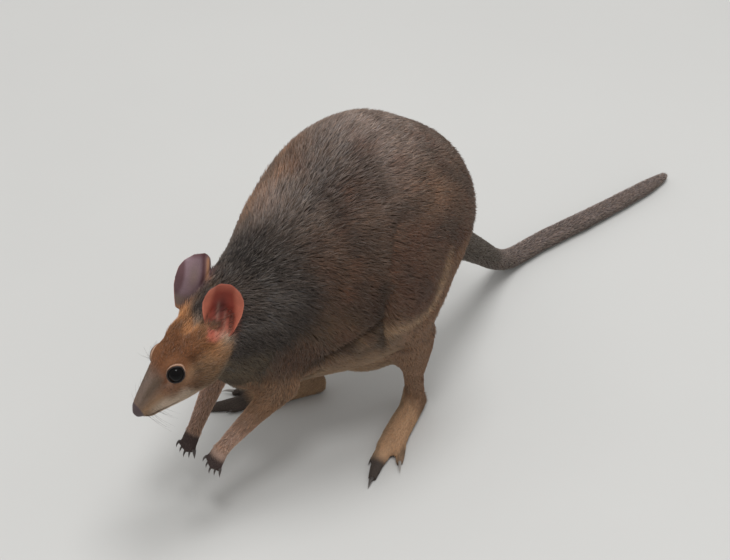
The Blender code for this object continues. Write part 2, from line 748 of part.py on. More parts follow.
def add_eyes():
    """Both eyeballs."""
    for side in (LEFT, RIGHT):
        finished("eye_" + SIDE_NAMES[side], eyeball(side, EYE_RADIUS), EYE_BLACK)


def stand_at_origin():
    """Every node under one empty, which puts the bounding box's bottom centre at the origin."""
    bpy.context.view_layer.update()
    nodes = list(collection(NAME).objects)
    corners = [node.matrix_world @ Vector(corner) for node in nodes for corner in node.bound_box]
    middle = [0.5 * (min(corner[axis] for corner in corners)
                     + max(corner[axis] for corner in corners)) for axis in range(2)]
    holder = add_object(NAME + "_base", None, NAME)
    holder.location = (-middle[0], -middle[1], 0.0)
    for node in nodes:
        node.parent = holder
    bpy.context.view_layer.update()
    bpy.data.collections.remove(collection("cutters"))


def main():
    for thing in list(bpy.data.objects):
        bpy.data.objects.remove(thing)
    flesh = build_flesh()
    for side in (LEFT, RIGHT):
        flesh = boolean(flesh, eyeball(side, EYE_RADIUS + GAP), "DIFFERENCE")
    swollen = evaluated(flesh.copy(), ("DISPLACE", {"strength": GAP, "mid_level": 0.0}))
    add_ears(swollen)
    add_claws(swollen)
    add_eyes()
    flesh = part_pouch(part_tail(flesh))
    for side in (LEFT, RIGHT):
        flesh = part_hind_limb(flesh, side)
        flesh = part_forelimb(flesh, side)
    flesh = part_head(flesh)
    part_trunk(flesh)
    stand_at_origin()


main()
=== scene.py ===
"""Skin, coat, eyes, claws and whiskers of a life-size pademelon, built over its solid parts."""
import itertools
import math
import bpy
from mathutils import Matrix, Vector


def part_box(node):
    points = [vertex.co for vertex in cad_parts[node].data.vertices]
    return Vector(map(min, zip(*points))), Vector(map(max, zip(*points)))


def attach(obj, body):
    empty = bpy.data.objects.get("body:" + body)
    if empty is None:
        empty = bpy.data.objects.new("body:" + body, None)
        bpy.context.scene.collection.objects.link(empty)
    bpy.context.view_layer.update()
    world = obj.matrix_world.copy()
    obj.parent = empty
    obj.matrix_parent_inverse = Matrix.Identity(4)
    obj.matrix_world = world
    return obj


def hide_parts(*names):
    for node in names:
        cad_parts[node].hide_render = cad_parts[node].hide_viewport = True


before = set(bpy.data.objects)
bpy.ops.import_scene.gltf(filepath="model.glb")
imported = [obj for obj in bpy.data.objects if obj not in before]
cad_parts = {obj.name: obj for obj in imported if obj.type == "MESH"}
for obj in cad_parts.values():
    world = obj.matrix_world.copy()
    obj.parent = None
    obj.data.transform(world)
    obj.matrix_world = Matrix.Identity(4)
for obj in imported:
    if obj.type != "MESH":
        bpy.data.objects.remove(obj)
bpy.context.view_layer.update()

from types import SimpleNamespace

import bmesh
import bpy
import numpy as np
from bpy.props import FloatProperty, FloatVectorProperty, PointerProperty
from mathutils import Vector, kdtree
from mathutils.bvhtree import BVHTree

bl_info = {
    "name": "Pademelon",
    "version": (1, 0, 0),
    "blender": (4, 5, 0),
    "location": "3D View > Sidebar > Pademelon",
    "description": "Builds the skin, coat, eyes, claws and whiskers of a life-size pademelon",
    "category": "Object",
}

BODY = "root"
SEED = 4127

# ---------------------------------------------------------------- places on the animal, in metres
EYE_RADIUS = 0.0098
EYE_FORWARD, EYE_UP = 0.0460, 0.0215
HEAD_PITCH, HEAD_ROLL, HEAD_TURN = math.radians(33.0), math.radians(12.0), math.radians(6.5)
HEAD_ORIGIN = np.array((0.0118, -0.2200, 0.2055))


def head_axes():
    """The head's forward, left and upward directions: tipped down, rolled and turned."""
    level = np.array((0.0, -math.cos(HEAD_PITCH), -math.sin(HEAD_PITCH)))
    upright = np.array((0.0, -math.sin(HEAD_PITCH), math.cos(HEAD_PITCH)))
    across = np.array((1.0, 0.0, 0.0))
    leaned = math.cos(HEAD_ROLL) * across + math.sin(HEAD_ROLL) * upright
    upward = math.cos(HEAD_ROLL) * upright - math.sin(HEAD_ROLL) * across
    forward = math.cos(HEAD_TURN) * level - math.sin(HEAD_TURN) * leaned
    return forward, math.cos(HEAD_TURN) * leaned + math.sin(HEAD_TURN) * level, upward


FORWARD, ASIDE, UP = head_axes()
SIDES = ("left", "right")
SIGNS = {"left": 1.0, "right": -1.0}


def pair(left, right):
    """A place of the left and of the right side."""
    return {"left": np.array(left), "right": np.array(right)}


def mirror(side):
    """What turns places of this side into places of the left side, and back."""
    return np.array((SIGNS[side], 1.0, 1.0))


HIPS = pair((0.044, 0.012, 0.198), (-0.044, 0.004, 0.198))
KNEES = pair((0.062, -0.030, 0.140), (-0.064, -0.070, 0.144))
ANKLES = pair((0.045, -0.006, 0.027), (-0.047, -0.060, 0.027))
TOES = pair((0.087, -0.102, 0.0045), (-0.095, -0.153, 0.0045))
SHOULDERS = pair((0.036, -0.158, 0.180), (-0.036, -0.156, 0.176))
ELBOWS = pair((0.043, -0.172, 0.137), (-0.043, -0.166, 0.122))
WRISTS = pair((0.032, -0.238, 0.094), (-0.025, -0.225, 0.068))
FINGERS = pair((0.030, -0.251, 0.075), (-0.023, -0.239, 0.051))
EAR_ROOTS = pair((0.020, -0.225, 0.217), (-0.020, -0.228, 0.222))
EAR_TIPS = pair((0.031, -0.224, 0.273), (-0.030, -0.208, 0.275))
EAR_OPENINGS = pair((0.75, -0.66, 0.0), (-0.98, 0.15, 0.0))
TAIL_LINE = ((0, .030, .182), (-.002, .066, .156), (-.008, .104, .122), (-.021, .146, .080),
             (-.036, .184, .040), (-.047, .222, .0130), (-.047, .268, .0102), (-.040, .338, .0096),
             (-.036, .414, .0080), (-.037, .454, .0058))
HIP_STRIPE = ((-.004, .226), (-.008, .212), (-.014, .196), (-.017, .178), (-.030, .167), (-.053, .170),
              (-.074, .176))
THIGH_CREASE = ((-.082, .232), (-.085, .218), (-.086, .203), (-.085, .184), (-.079, .160), (-.070, .140))
BELLY_FOLD = ((-.084, .193), (-.095, .190), (-.109, .182), (-.121, .173), (-.136, .162), (-.150, .150))
THIGH_RIDGE = ((-.081, .247), (-.075, .264), (-.067, .280), (-.051, .296))
RUMP_BREAK = ((.036, .002, .316), (.038, .012, .309), (.038, .0265, .2985), (.042, .041, .2835),
              (.049, .046, .270))


def middle_of(node):
    low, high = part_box(node)
    return (np.array(low) + np.array(high)) / 2.0


def from_head(forward, aside, up):
    """A place given along, across and above the head's own line, in the animal's frame."""
    return HEAD_ORIGIN + FORWARD * forward + ASIDE * aside + UP * up


EYE_PLACES = {side: middle_of("eye_" + side) for side in SIDES}
SHIFT = (EYE_PLACES["left"] + EYE_PLACES["right"]) / 2.0 - from_head(EYE_FORWARD, 0.0, EYE_UP)

FLESH = [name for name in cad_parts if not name.startswith("eye_") and "claw" not in name]
ZONES = ("trunk", "neck", "pouch", "head", "jaw", "nose", "ear_left", "ear_right",
         "thigh_left", "thigh_right", "shank_left", "shank_right", "foot_left", "foot_right",
         "upper_arm_left", "upper_arm_right", "forearm_left", "forearm_right",
         "paw_left", "paw_right", "tail")

# zone: coat depth, tuft length, tuft width (millimetres), tufts per square millimetre, smoothing passes
ZONE_COAT = {
    "trunk": (5.0, 14.0, 0.80, 0.62, 80), "neck": (4.2, 11.5, 0.75, 0.70, 55),
    "pouch": (3.5, 10.0, 0.75, 0.62, 60), "head": (1.6, 5.0, 0.46, 1.35, 12),
    "jaw": (1.0, 3.5, 0.42, 1.20, 10), "nose": (0.0, 0.6, 0.25, 0.05, 3),
    "ear": (0.15, 2.0, 0.26, 0.60, 15), "thigh": (4.0, 11.0, 0.75, 0.68, 60),
    "shank": (2.0, 6.5, 0.62, 0.90, 20), "foot": (0.8, 3.8, 0.48, 1.10, 5),
    "upper_arm": (2.6, 8.0, 0.65, 0.80, 26), "forearm": (1.6, 5.0, 0.52, 1.10, 12),
    "paw": (0.2, 2.2, 0.36, 1.10, 2), "tail": (1.8, 6.5, 0.66, 0.60, 22),
}

# the skin's making, in metres where it is a length
SWELL = 0.00045             # added all over, so that solids that touch become one
SKIN_GRAIN = 0.0011
FLOOR_GAP = 0.0001
BODY_KEEP = 0.36            # share of the faces kept where the skin is plain
SMOOTH_REACH = 0.62         # how far each smoothing pass moves a point towards its neighbours
TOE_PASSES, LID_PASSES = 2.5, 8

WORK = {}


# ---------------------------------------------------------------- small tools
def linear(red, green, blue, gain=1.0):
    """A colour written in 0 to 255 as the light it gives back."""
    out = []
    for value in (red, green, blue):
        value /= 255.0
        value = value / 12.92 if value <= 0.04045 else ((value + 0.055) / 1.055) ** 2.4
        out.append(min(1.0, value * gain))
    return tuple(out)


def soft(value, low, high):
    """0 below low, 1 above high, and a smooth slope between."""
    t = np.clip((value - low) / (high - low), 0.0, 1.0)
    return t * t * (3.0 - 2.0 * t)


def bell(distance, width):
    return np.exp(-(distance / width) ** 2)


def noise(points, size, seed):
    """Smooth random values from 0 to 1 on a lattice of this spacing."""
    place = points / size
    base = np.floor(place).astype(np.int64)
    part = place - base
    part = part * part * (3.0 - 2.0 * part)
    total = np.zeros(len(points))
    for corner in itertools.product((0, 1), repeat=3):
        cell = base + np.array(corner)
        mix = (cell[:, 0] * 73856093) ^ (cell[:, 1] * 19349663) ^ (cell[:, 2] * 83492791) ^ (seed * 7919)
        mix = (mix ^ (mix >> 13)) * 1274126177
        mix = ((mix ^ (mix >> 16)) & 0xFFFF) / 65535.0
        weight = np.prod(np.where(np.array(corner) == 1, part, 1.0 - part), axis=1)
        total += weight * mix
    return total


def unit(vectors):
    return vectors / np.maximum(np.linalg.norm(vectors, axis=-1, keepdims=True), 1e-12)


def along(points, start, end):
    """How far along the line from start to end each point is, 0 to 1, and how far from it."""
    start, end = np.array(start), np.array(end)
    line = end - start
    share = np.clip((points - start) @ line / (line @ line), 0.0, 1.0)
    return share, np.linalg.norm(points - (start + share[:, None] * line), axis=1)


def along_path(points, path):
    """Share of the path's length, distance from it, and its direction there."""
    path = np.array(path, dtype=float)
    steps = np.linalg.norm(np.diff(path, axis=0), axis=1)
    starts = np.concatenate(([0.0], np.cumsum(steps)))
    best = np.full(len(points), 1e9)
    share = np.zeros(len(points))
    way = np.zeros((len(points), path.shape[1]))
    for i, step in enumerate(steps):
        t, gap = along(points, path[i], path[i + 1])
        near = gap < best
        best[near] = gap[near]
        share[near] = (starts[i] + t[near] * step) / starts[-1]
        way[near] = (path[i + 1] - path[i]) / step
    return share, best, way


def head_place(points):
    """Forward, across and above the head's line for points in the animal's frame."""
    away = points - HEAD_ORIGIN
    return away @ FORWARD, away @ ASIDE, away @ UP


def share_of(shares, *zones):
    """How much each point belongs to any of these zones."""
    return sum(shares[:, ZONES.index(zone)] for zone in zones)


class Web:
    """The edges of a mesh, for averages over each point's neighbours."""

    def __init__(self, edges, count):
        self.a, self.b, self.count = edges[:, 0], edges[:, 1], count
        near = np.bincount(self.a, minlength=count) + np.bincount(self.b, minlength=count)
        self.near = np.maximum(near, 1)[:, None]

    def mean(self, values):
        out = np.empty_like(values)
        for k in range(values.shape[1]):
            out[:, k] = (np.bincount(self.a, values[self.b, k], self.count)
                         + np.bincount(self.b, values[self.a, k], self.count))
        return out / self.near

    def smooth(self, values, passes, share=1.0):
        for _ in range(passes):
            values = values + share * (self.mean(values) - values)
        return values


def mesh_points(mesh):
    points = np.empty(len(mesh.vertices) * 3)
    mesh.vertices.foreach_get("co", points)
    return points.reshape(-1, 3)


def mesh_edges(mesh):
    edges = np.empty(len(mesh.edges) * 2, dtype=np.int64)
    mesh.edges.foreach_get("vertices", edges)
    return edges.reshape(-1, 2)


def mesh_triangles(mesh):
    mesh.calc_loop_triangles()
    corners = np.empty(len(mesh.loop_triangles) * 3, dtype=np.int64)
    mesh.loop_triangles.foreach_get("vertices", corners)
    return corners.reshape(-1, 3)


def point_normals(points, triangles):
    a, b, c = (points[triangles[:, k]] for k in range(3))
    face = np.cross(b - a, c - a)
    out = np.zeros_like(points)
    for k in range(3):
        for axis in range(3):
            out[:, axis] += np.bincount(triangles[:, k], face[:, axis], len(points))
    return unit(out)


def triangle_mesh(name, points, triangles):
    mesh = bpy.data.meshes.new(name)
    mesh.vertices.add(len(points))
    mesh.vertices.foreach_set("co", np.ascontiguousarray(points, dtype=np.float32).ravel())
    mesh.loops.add(triangles.size)
    mesh.loops.foreach_set("vertex_index", np.ascontiguousarray(triangles, dtype=np.int32).ravel())
    mesh.polygons.add(len(triangles))
    mesh.polygons.foreach_set("loop_start", np.arange(0, triangles.size, 3, dtype=np.int32))
    mesh.update(calc_edges=True)
    mesh.shade_smooth()
    return mesh


def paint(mesh, name, colours):
    layer = mesh.color_attributes.new(name, "FLOAT_COLOR", "POINT")
    rgba = np.ones((len(mesh.vertices), 4), dtype=np.float32)
    rgba[:, :3] = colours
    layer.data.foreach_set("color", rgba.ravel())


def mark(mesh, name, values):
    layer = mesh.attributes.new(name, "FLOAT", "POINT")
    layer.data.foreach_set("value", np.ascontiguousarray(values, dtype=np.float32))


def built_mesh(name, build, **sizes):
    """A mesh made by one of Blender's own shape makers."""
    bm = bmesh.new()
    build(bm, **sizes)
    mesh = bpy.data.meshes.new(name)
    bm.to_mesh(mesh)
    bm.free()
    return mesh


def link_object(name, data):
    thing = bpy.data.objects.new(name, data)
    bpy.context.scene.collection.objects.link(thing)
    return thing


def shaped_by(holder):
    """The object's mesh as its modifiers leave it. The object itself goes."""
    mesh = bpy.data.meshes.new_from_object(holder.evaluated_get(bpy.context.evaluated_depsgraph_get()))
    bpy.data.objects.remove(holder)
    return mesh


def place_piece(name, mesh, material, replaced=()):
    """Links a finished piece, gives it its material, and lets it ride on the animal's body."""
    piece = link_object(name, mesh)
    mesh.materials.append(material)
    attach(piece, BODY)
    if replaced:
        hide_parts(*replaced)
    return piece


# ---------------------------------------------------------------- sizes and colours a user would change
def length_property(name, description, default, low, high):
    return FloatProperty(name=name, description=description, default=default, min=low, max=high,
                         unit="LENGTH", precision=4)


def power_property(name, description, default):
    return FloatProperty(name=name, description=description, default=default, min=0.0, max=300.0,
                         unit="POWER")


def share_property(name, description, default, high=1.0):
    return FloatProperty(name=name, description=description, default=default, min=0.0, max=high,
                         subtype="FACTOR")


COAT_GAIN = 1.55        # what lies in the shade between tufts is made up for by this


def colour_property(name, description, red, green, blue, gain=COAT_GAIN):
    return FloatVectorProperty(name=name, description=description, subtype="COLOR", size=3,
                               min=0.0, max=1.0, default=linear(red, green, blue, gain))


class PademelonCoat(bpy.types.PropertyGroup):
    """How long, wide and dense the coat is."""
    length: share_property("Length", "Tuft length as a share of the natural coat", 1.0, 1.3)
    width: share_property("Width", "Tuft width as a share of the natural coat", 1.05, 2.0)
    density: share_property("Density", "Tufts as a share of the natural coat", 0.90, 1.2)
    pale_ticks: share_property("Pale ticks", "Share of tufts with pale tips on the grizzled back", 0.24)
    dark_ticks: share_property("Dark ticks", "Share of tufts with dark tips on the grizzled back", 0.26)
    whisker: length_property("Whisker", "Length of the longest whisker", 0.026, 0.005, 0.040)


class PademelonColours(bpy.types.PropertyGroup):
    """The colours of the coat, bare skin, claws and eyes."""
    back: colour_property("Back", "Grizzled grey-brown of the back", 96, 80, 69)
    flank: colour_property("Flank", "Warm brown of the flanks and thighs", 84, 62, 49)
    flank_red: colour_property("Red flank", "Reddish brown of the thigh's front", 88, 57, 43)
    flank_dark: colour_property("Dark flank", "Dark brown hollows of the flank", 52, 42, 38)
    rump_tan: colour_property("Rump tan", "Tan of the upper rump", 132, 100, 78)
    golden: colour_property("Golden flank", "Golden brown of the lower flank and chest", 92, 72, 52)
    # painted sheen: the pale pinkish cap on top of the back and the pale rim along the right flank stand
    # for sky light caught in the hair
    crown_light: colour_property("Top of the back", "Pale pinkish brown of the top", 142, 126, 118)
    grey_tips: colour_property("Grey tips", "Silvery hair tips of the neck", 96, 91, 88)
    charcoal: colour_property("Shoulders", "Charcoal of the neck and shoulders", 54, 49, 47)
    patch: colour_property("Shoulder patch", "Darkest hair on the shoulder", 20, 19, 20)
    belly: colour_property("Belly", "Buff of the belly and pouch", 121, 99, 78)
    stripe: colour_property("Hip stripe", "Cream stripe below the hip", 150, 124, 98)
    throat: colour_property("Throat", "Yellowish buff of the throat", 88, 78, 64)
    shank: colour_property("Shank", "Olive buff of the hind leg", 128, 100, 79)
    shank_back: colour_property("Shank back", "Red-brown along the back of the leg", 90, 60, 42)
    foot: colour_property("Foot", "Orange tan of the hind foot", 172, 138, 108)
    toes: colour_property("Toes", "Dark brown of the toes", 64, 56, 51)
    forearm: colour_property("Forearm", "Tan of the forearm", 122, 94, 72)
    wrist: colour_property("Wrist", "Pale pinkish tan of the wrist", 172, 143, 128)
    paw: colour_property("Paw", "Dark brown of the paws", 56, 44, 42)
    forehead: colour_property("Forehead", "Rufous forehead", 108, 70, 44)
    cheek: colour_property("Cheek", "Olive rufous cheek", 129, 101, 75)
    cheek_red: colour_property("Cheek red", "Redder hair round the eye", 122, 80, 60)
    bridge: colour_property("Muzzle", "Grey-brown top of the muzzle", 109, 93, 83)
    streak: colour_property("Streak", "Dark streak from nose to eye", 72, 58, 44)
    # the blackish stripe is painted shadow along the front edge of the right ear's base; the same colour
    # also darkens a small spot on each side of the face
    crown: colour_property("Crown", "Blackish stripe between the ears", 46, 39, 38)
    lip: colour_property("Lip", "Cream of the lips and chin", 186, 168, 150)
    ear_base: colour_property("Ear base", "Orange hair below the ears", 196, 140, 92)
    ear_inside: colour_property("Ear inside", "Bare red inside of the ear", 120, 50, 38, 1.5)
    ear_rim: colour_property("Ear rim", "Pinkish rim of the ear", 176, 104, 84, 1.4)
    # the darkest red in the middle of the ear's bowl is painted shade of the hollow, over the bare red skin
    ear_deep: colour_property("Ear hollow", "Deepest, darkest red inside the ear", 62, 24, 24, 1.4)
    ear_dark: colour_property("Ear strip", "Dark red-brown strip and rim of the ear", 74, 42, 44, 1.3)
    ear_back: colour_property("Ear back", "Purple-brown back of the ear", 112, 92, 98, 1.5)
    tail_root: colour_property("Tail base", "Grey-brown of the tail's base", 70, 64, 58)
    tail: colour_property("Tail", "Pale pinkish grey of the outer tail", 114, 102, 97)
    # the tail's underside is partly darker hair and partly painted shade
    tail_under: colour_property("Tail below", "Darker underside of the tail", 78, 70, 66)
    nose: colour_property("Nose", "Purplish dark brown of the nose", 70, 56, 58, 1.2)
    lid: colour_property("Eyelid", "Dark margin of the eyelids", 22, 16, 16, 1.0)
    eye: colour_property("Eye", "Near-black eye", 8, 6, 6, 1.0)
    claw: colour_property("Claw", "Dark horn of the claws", 66, 58, 54, 1.0)
    claw_pale: colour_property("Outer claw", "Whitish grey horn of the outer toe", 150, 145, 140, 1.0)
    whisker: colour_property("Whiskers", "Dark brown whiskers", 40, 32, 30, 1.0)


class PademelonStage(bpy.types.PropertyGroup):
    """The floor and the studio light."""
    floor: colour_property("Floor", "Pale floor", 206, 206, 204, 1.0)
    key: power_property("Key light", "Strength of the large soft light overhead", 34.0)
    fill: power_property("Front light", "Strength of the soft light high in front", 17.0)
    sky: FloatProperty(name="Surroundings", description="Brightness of the even light all round",
                       default=0.55, min=0.0, max=5.0)


# ---------------------------------------------------------------- the skin's shape
def flesh_as_one():
    """Every flesh solid, and the eyes to close their sockets, as one fine closed surface."""
    points, faces = [], []
    for name in FLESH + ["eye_left", "eye_right"]:
        bm = bmesh.new()
        bm.from_mesh(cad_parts[name].data)
        bmesh.ops.remove_doubles(bm, verts=bm.verts, dist=1e-5)
        bm.normal_update()
        start = len(points)
        points += [v.co + v.normal * SWELL for v in bm.verts]
        faces += [[v.index + start for v in f.verts] for f in bm.faces]
        bm.free()
    mesh = bpy.data.meshes.new("flesh")
    mesh.from_pydata(points, [], faces)
    holder = link_object("flesh", mesh)
    remesh = holder.modifiers.new("grain", "REMESH")
    remesh.mode = "VOXEL"
    remesh.voxel_size = SKIN_GRAIN
    fine = shaped_by(holder)
    bpy.data.meshes.remove(mesh)
    return largest_shell(fine)


def largest_shell(mesh):
    """Keeps the outer closed surface and drops any small pocket inside it."""
    bm = bmesh.new()
    bm.from_mesh(mesh)
    bm.verts.ensure_lookup_table()
    seen = np.zeros(len(bm.verts), dtype=bool)
    shells = []
    for vert in bm.verts:
        if seen[vert.index]:
            continue
        shell, queue = [], [vert]
        seen[vert.index] = True
        while queue:
            v = queue.pop()
            shell.append(v)
            for edge in v.link_edges:
                other = edge.other_vert(v)
                if not seen[other.index]:
                    seen[other.index] = True
                    queue.append(other)
        shells.append(shell)
    shells.sort(key=len)
    for shell in shells[:-1]:
        bmesh.ops.delete(bm, geom=shell, context="VERTS")
    bm.to_mesh(mesh)
    bm.free()
    return mesh


def zone_of(node):
    if node == "lower_jaw":
        return "jaw"
    if node.startswith("tail"):
        return "tail"
    return node if node in ZONES else "trunk"


def zone_shares(points, web):
    """For each point, how much it belongs to each zone, softened across the borders."""
    corners, faces, owner = [], [], []
    for name in FLESH:
        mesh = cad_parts[name].data
        start = len(corners)
        corners += [v.co.copy() for v in mesh.vertices]
        for face in mesh.polygons:
            faces.append([start + i for i in face.vertices])
            owner.append(ZONES.index(zone_of(name)))
    tree = BVHTree.FromPolygons(corners, faces)
    shares = np.zeros((len(points), len(ZONES)))
    for i, point in enumerate(points):
        shares[i, owner[tree.find_nearest(Vector(point))[2]]] = 1.0
    animal = points - SHIFT
    tail_root = (animal[:, 1] > 0.052) & (share_of(shares, "trunk") > 0.5)
    shares[tail_root] = 0.0
    shares[tail_root, ZONES.index("tail")] = 1.0
    return web.smooth(shares, 8, 0.7)


def zone_value(shares, column):
    """A coat value blended from the zones' own."""
    kinds = [zone.replace("_left", "").replace("_right", "") for zone in ZONES]
    return shares @ np.array([ZONE_COAT[kind][column] for kind in kinds])


def coat_measures(points, shares):
    """Coat depth, tuft length and tuft width in metres, and tufts per square millimetre."""
    animal = points - SHIFT
    forward, _, _ = head_place(animal)
    depth, length, width = (zone_value(shares, column) * 0.001 for column in range(3))
    head = share_of(shares, "head", "jaw")
    muzzle = head * soft(forward, 0.040, 0.075)
    density = zone_value(shares, 3) * (1.0 + 0.9 * muzzle)
    thinner = [(muzzle, 0.72, 0.58, 0.35)]
    for side in SIDES:
        gap = np.linalg.norm(points - EYE_PLACES[side], axis=1)
        thinner.append((1.0 - soft(gap, 0.0105, 0.0190), 0.85, 0.62, 0.30))
    for mask, lower, shorter, finer in thinner:
        depth = depth * (1.0 - lower * mask)
        length = length * (1.0 - shorter * mask)
        width = width * (1.0 - finer * mask)
    nape = head * (1.0 - soft(forward, -0.004, 0.022))
    depth = depth + 0.0015 * nape
    length = length + 0.0045 * nape
    for side in SIDES:
        toes = toes_of(animal, shares, side, 0.55, 0.75)
        depth = depth * (1.0 - 0.75 * toes)
        length = length * (1.0 - 0.45 * toes)
    share, _, _ = along_path(animal, TAIL_LINE)
    tail = share_of(shares, "tail")
    depth = depth + tail * 0.0028 * (1.0 - soft(share, 0.05, 0.35)) - tail * 0.0006 * soft(share, .7, 1.)
    length = length + tail * 0.0050 * (1.0 - soft(share, 0.05, 0.40)) - tail * 0.0015 * soft(share, .6, 1.)
    return depth, length, width, density


def toes_of(animal, shares, side, start, full):
    """How much each point belongs to a foot's front end, from start to full along the foot."""
    step, _ = along(animal, ANKLES[side], TOES[side])
    return share_of(shares, "foot_" + side) * soft(step, start, full)


SIDE_STEPS = {"left": 0.0, "right": -0.034}     # how far each hind leg stands from the left one, in y


def beside(animal, normals, side):
    """Places seen from one side, with the right side's own step forward taken out."""
    sign = SIGNS[side]
    flat = np.stack((animal[:, 1] - SIDE_STEPS[side], animal[:, 2]), 1)
    return flat, soft(normals[:, 0] * sign, -0.15, 0.25) * soft(animal[:, 0] * sign, 0.010, 0.030)


def creases(animal, normals):
    """How far the skin is drawn in where the thigh and the belly meet the flank, in metres."""
    depth = np.zeros(len(animal))
    for side in SIDES:
        flat, outer = beside(animal, normals, side)
        share, gap, _ = along_path(flat, THIGH_CREASE)
        depth += outer * 0.0070 * bell(gap, 0.0060) * soft(share, 0.0, 0.35) * (1 - soft(share, 0.55, 0.90))
        share, gap, _ = along_path(flat, BELLY_FOLD)
        depth += outer * 0.0040 * bell(gap, 0.0060) * (1 - soft(share, 0.55, 1.0))
        share, gap, _ = along_path(flat, THIGH_RIDGE)
        depth += outer * 0.0016 * bell(gap, 0.0060) * (1 - soft(share, 0.5, 1.0))
        share, gap, _ = along_path(animal * mirror(side), RUMP_BREAK)
        depth += 0.0036 * bell(gap, 0.0048) * (1 - np.abs(2 * share - 1))
    return depth


# eyes
EYE_AXIS = {side: unit(0.30 * FORWARD + 0.83 * sign * ASIDE + 0.47 * UP) for side, sign in SIGNS.items()}
LID_ALONG, LID_UPRIGHT = 0.88, 0.76        # half angles of the opening, in radians
CANTHUS_TURN, CANTHUS_REACH, CANTHUS_WIDTH = -0.30, 0.26, 0.30


def eye_frame(side):
    """An eye's axis, and the directions across it towards the nose and the brow."""
    axis = EYE_AXIS[side]
    front = unit(FORWARD - axis * (FORWARD @ axis))
    return axis, front, unit(UP - axis * (UP @ axis) - front * (UP @ front))


def lid_place(points, side):
    """Where points are round an eye: 1 on the lid's edge, less inside; the turn; the distance."""
    away = points - EYE_PLACES[side]
    gap = np.linalg.norm(away, axis=1)
    way = away / np.maximum(gap, 1e-9)[:, None]
    axis, front, top = eye_frame(side)
    lean = np.arccos(np.clip(way @ axis, -1.0, 1.0))
    turn = np.arctan2(way @ top, way @ front)
    return lean / lid_edge(turn), turn, gap


def lid_edge(turn):
    """The opening's half angle at each turn round the eye's axis, drawn out at the front corner."""
    oval = 1.0 / np.sqrt((np.cos(turn) / LID_ALONG) ** 2 + (np.sin(turn) / LID_UPRIGHT) ** 2)
    wrap = np.angle(np.exp(1j * (turn - CANTHUS_TURN)))
    back = np.angle(np.exp(1j * (turn - 3.0)))
    return oval * (1.0 + CANTHUS_REACH * bell(wrap, CANTHUS_WIDTH) + 0.05 * bell(back, 0.35))


# nose and mouth, along and above the head's line
MOUTH = ((.1045, .0074), (.0970, .0060), (.0900, .0041), (.0820, .0012), (.0740, -.0018),
         (.0670, -.0036), (.0610, -.0036))
NOSTRIL = ((.1095, .0038, .0110), (.1080, .0058, .0118), (.1050, .0080, .0136), (.1015, .0092, .0150))


def mouth_mask(points, reach):
    """The line of the mouth, fading towards its corner."""
    forward, _, up = head_place(points)
    share, gap, _ = along_path(np.stack((forward, up), 1), MOUTH)
    return bell(gap, reach) * (1.0 - soft(share, 0.82, 1.0))


def nostril_mask(points, reach):
    """A comma that opens forward and trails back and out on each side of the nose."""
    forward, aside, up = head_place(points)
    share, gap, _ = along_path(np.stack((forward, np.abs(aside), up), 1), NOSTRIL)
    return bell(gap, reach * (1.15 - 0.75 * share))


# how far the skin lies from the eye's middle: behind the eye, on the lid's edge and crest, and past it
LID_RINGS = (0.0, 0.90, 0.985, 1.05, 1.16, 1.30)
LID_RADII = EYE_RADIUS + np.array((-0.0016, -0.0016, 0.0007, 0.0011, 0.0011, 0.0004))


def carve_face(points, normals):
    """Sets the sockets and lids round the eyes, and cuts the nostrils, mouth and lip's groove."""
    for side in SIDES:
        ring, turn, gap = lid_place(points, side)
        lid = np.interp(ring, LID_RINGS, LID_RADII)
        close = gap < EYE_RADIUS + 0.009
        free = soft(ring, 1.10, 1.60)
        wish = np.where(ring < 1.10, lid, np.maximum(lid * (1 - free) + gap * free, 0.0))
        wish = np.where((ring > 1.10) & (gap < EYE_RADIUS + 0.0002), EYE_RADIUS + 0.0002, wish)
        scale = np.where(close, wish / np.maximum(gap, 1e-9), 1.0)
        # folds above and below the lids
        fold = close * (bell(ring - 1.36, 0.055) * (np.sin(turn) > -0.2) * 0.00045
                        + bell(ring - 1.33, 0.05) * (np.sin(turn) < -0.2) * 0.00035)
        away = points - EYE_PLACES[side]
        points = EYE_PLACES[side] + away * scale[:, None] - normals * fold[:, None]
    animal = points - SHIFT
    forward, aside, up = head_place(animal)
    front = soft(forward, 0.050, 0.060)
    groove = mouth_mask(animal, 0.0007) * front * 0.0011
    lip = mouth_mask(animal, 0.0022) * front * 0.00025
    nostril = nostril_mask(animal, 0.0015) * 0.0023
    philtrum = bell(aside, 0.0006) * soft(forward, 0.101, 0.104) * soft(-up, -0.0125, -0.0095) * 0.0008
    wing = nostril_mask(animal, 0.0034) * 0.0006
    move = lip + wing - groove - nostril - philtrum
    return points + normals * move[:, None]


def refine(mesh, wanted, rounds):
    """Splits the faces whose points all pass the test, so small folds have points to lie on."""
    bm = bmesh.new()
    bm.from_mesh(mesh)
    for _ in range(rounds):
        points = np.array([v.co for v in bm.verts])
        keep = wanted(points)
        bm.verts.index_update()
        edges = [e for e in bm.edges if keep[e.verts[0].index] and keep[e.verts[1].index]]
        bmesh.ops.subdivide_edges(bm, edges=edges, cuts=1, use_grid_fill=True)
    bmesh.ops.triangulate(bm, faces=bm.faces)
    bm.to_mesh(mesh)
    bm.free()


def face_detail(points):
    """Round the eyes, the nose and the mouth."""
    out = np.zeros(len(points), dtype=bool)
    for side in SIDES:
        ring, _, gap = lid_place(points, side)
        out |= (ring > 0.78) & (ring < 1.50) & (gap < EYE_RADIUS + 0.006)
    forward, aside, up = head_place(points - SHIFT)
    out |= (forward > 0.096) & (forward < 0.125) & (np.abs(up) < 0.03) & (np.abs(aside) < 0.03)
    out |= (mouth_mask(points - SHIFT, 0.0030) > 0.35) & (forward > 0.055) & (np.abs(aside) < 0.03)
    return out


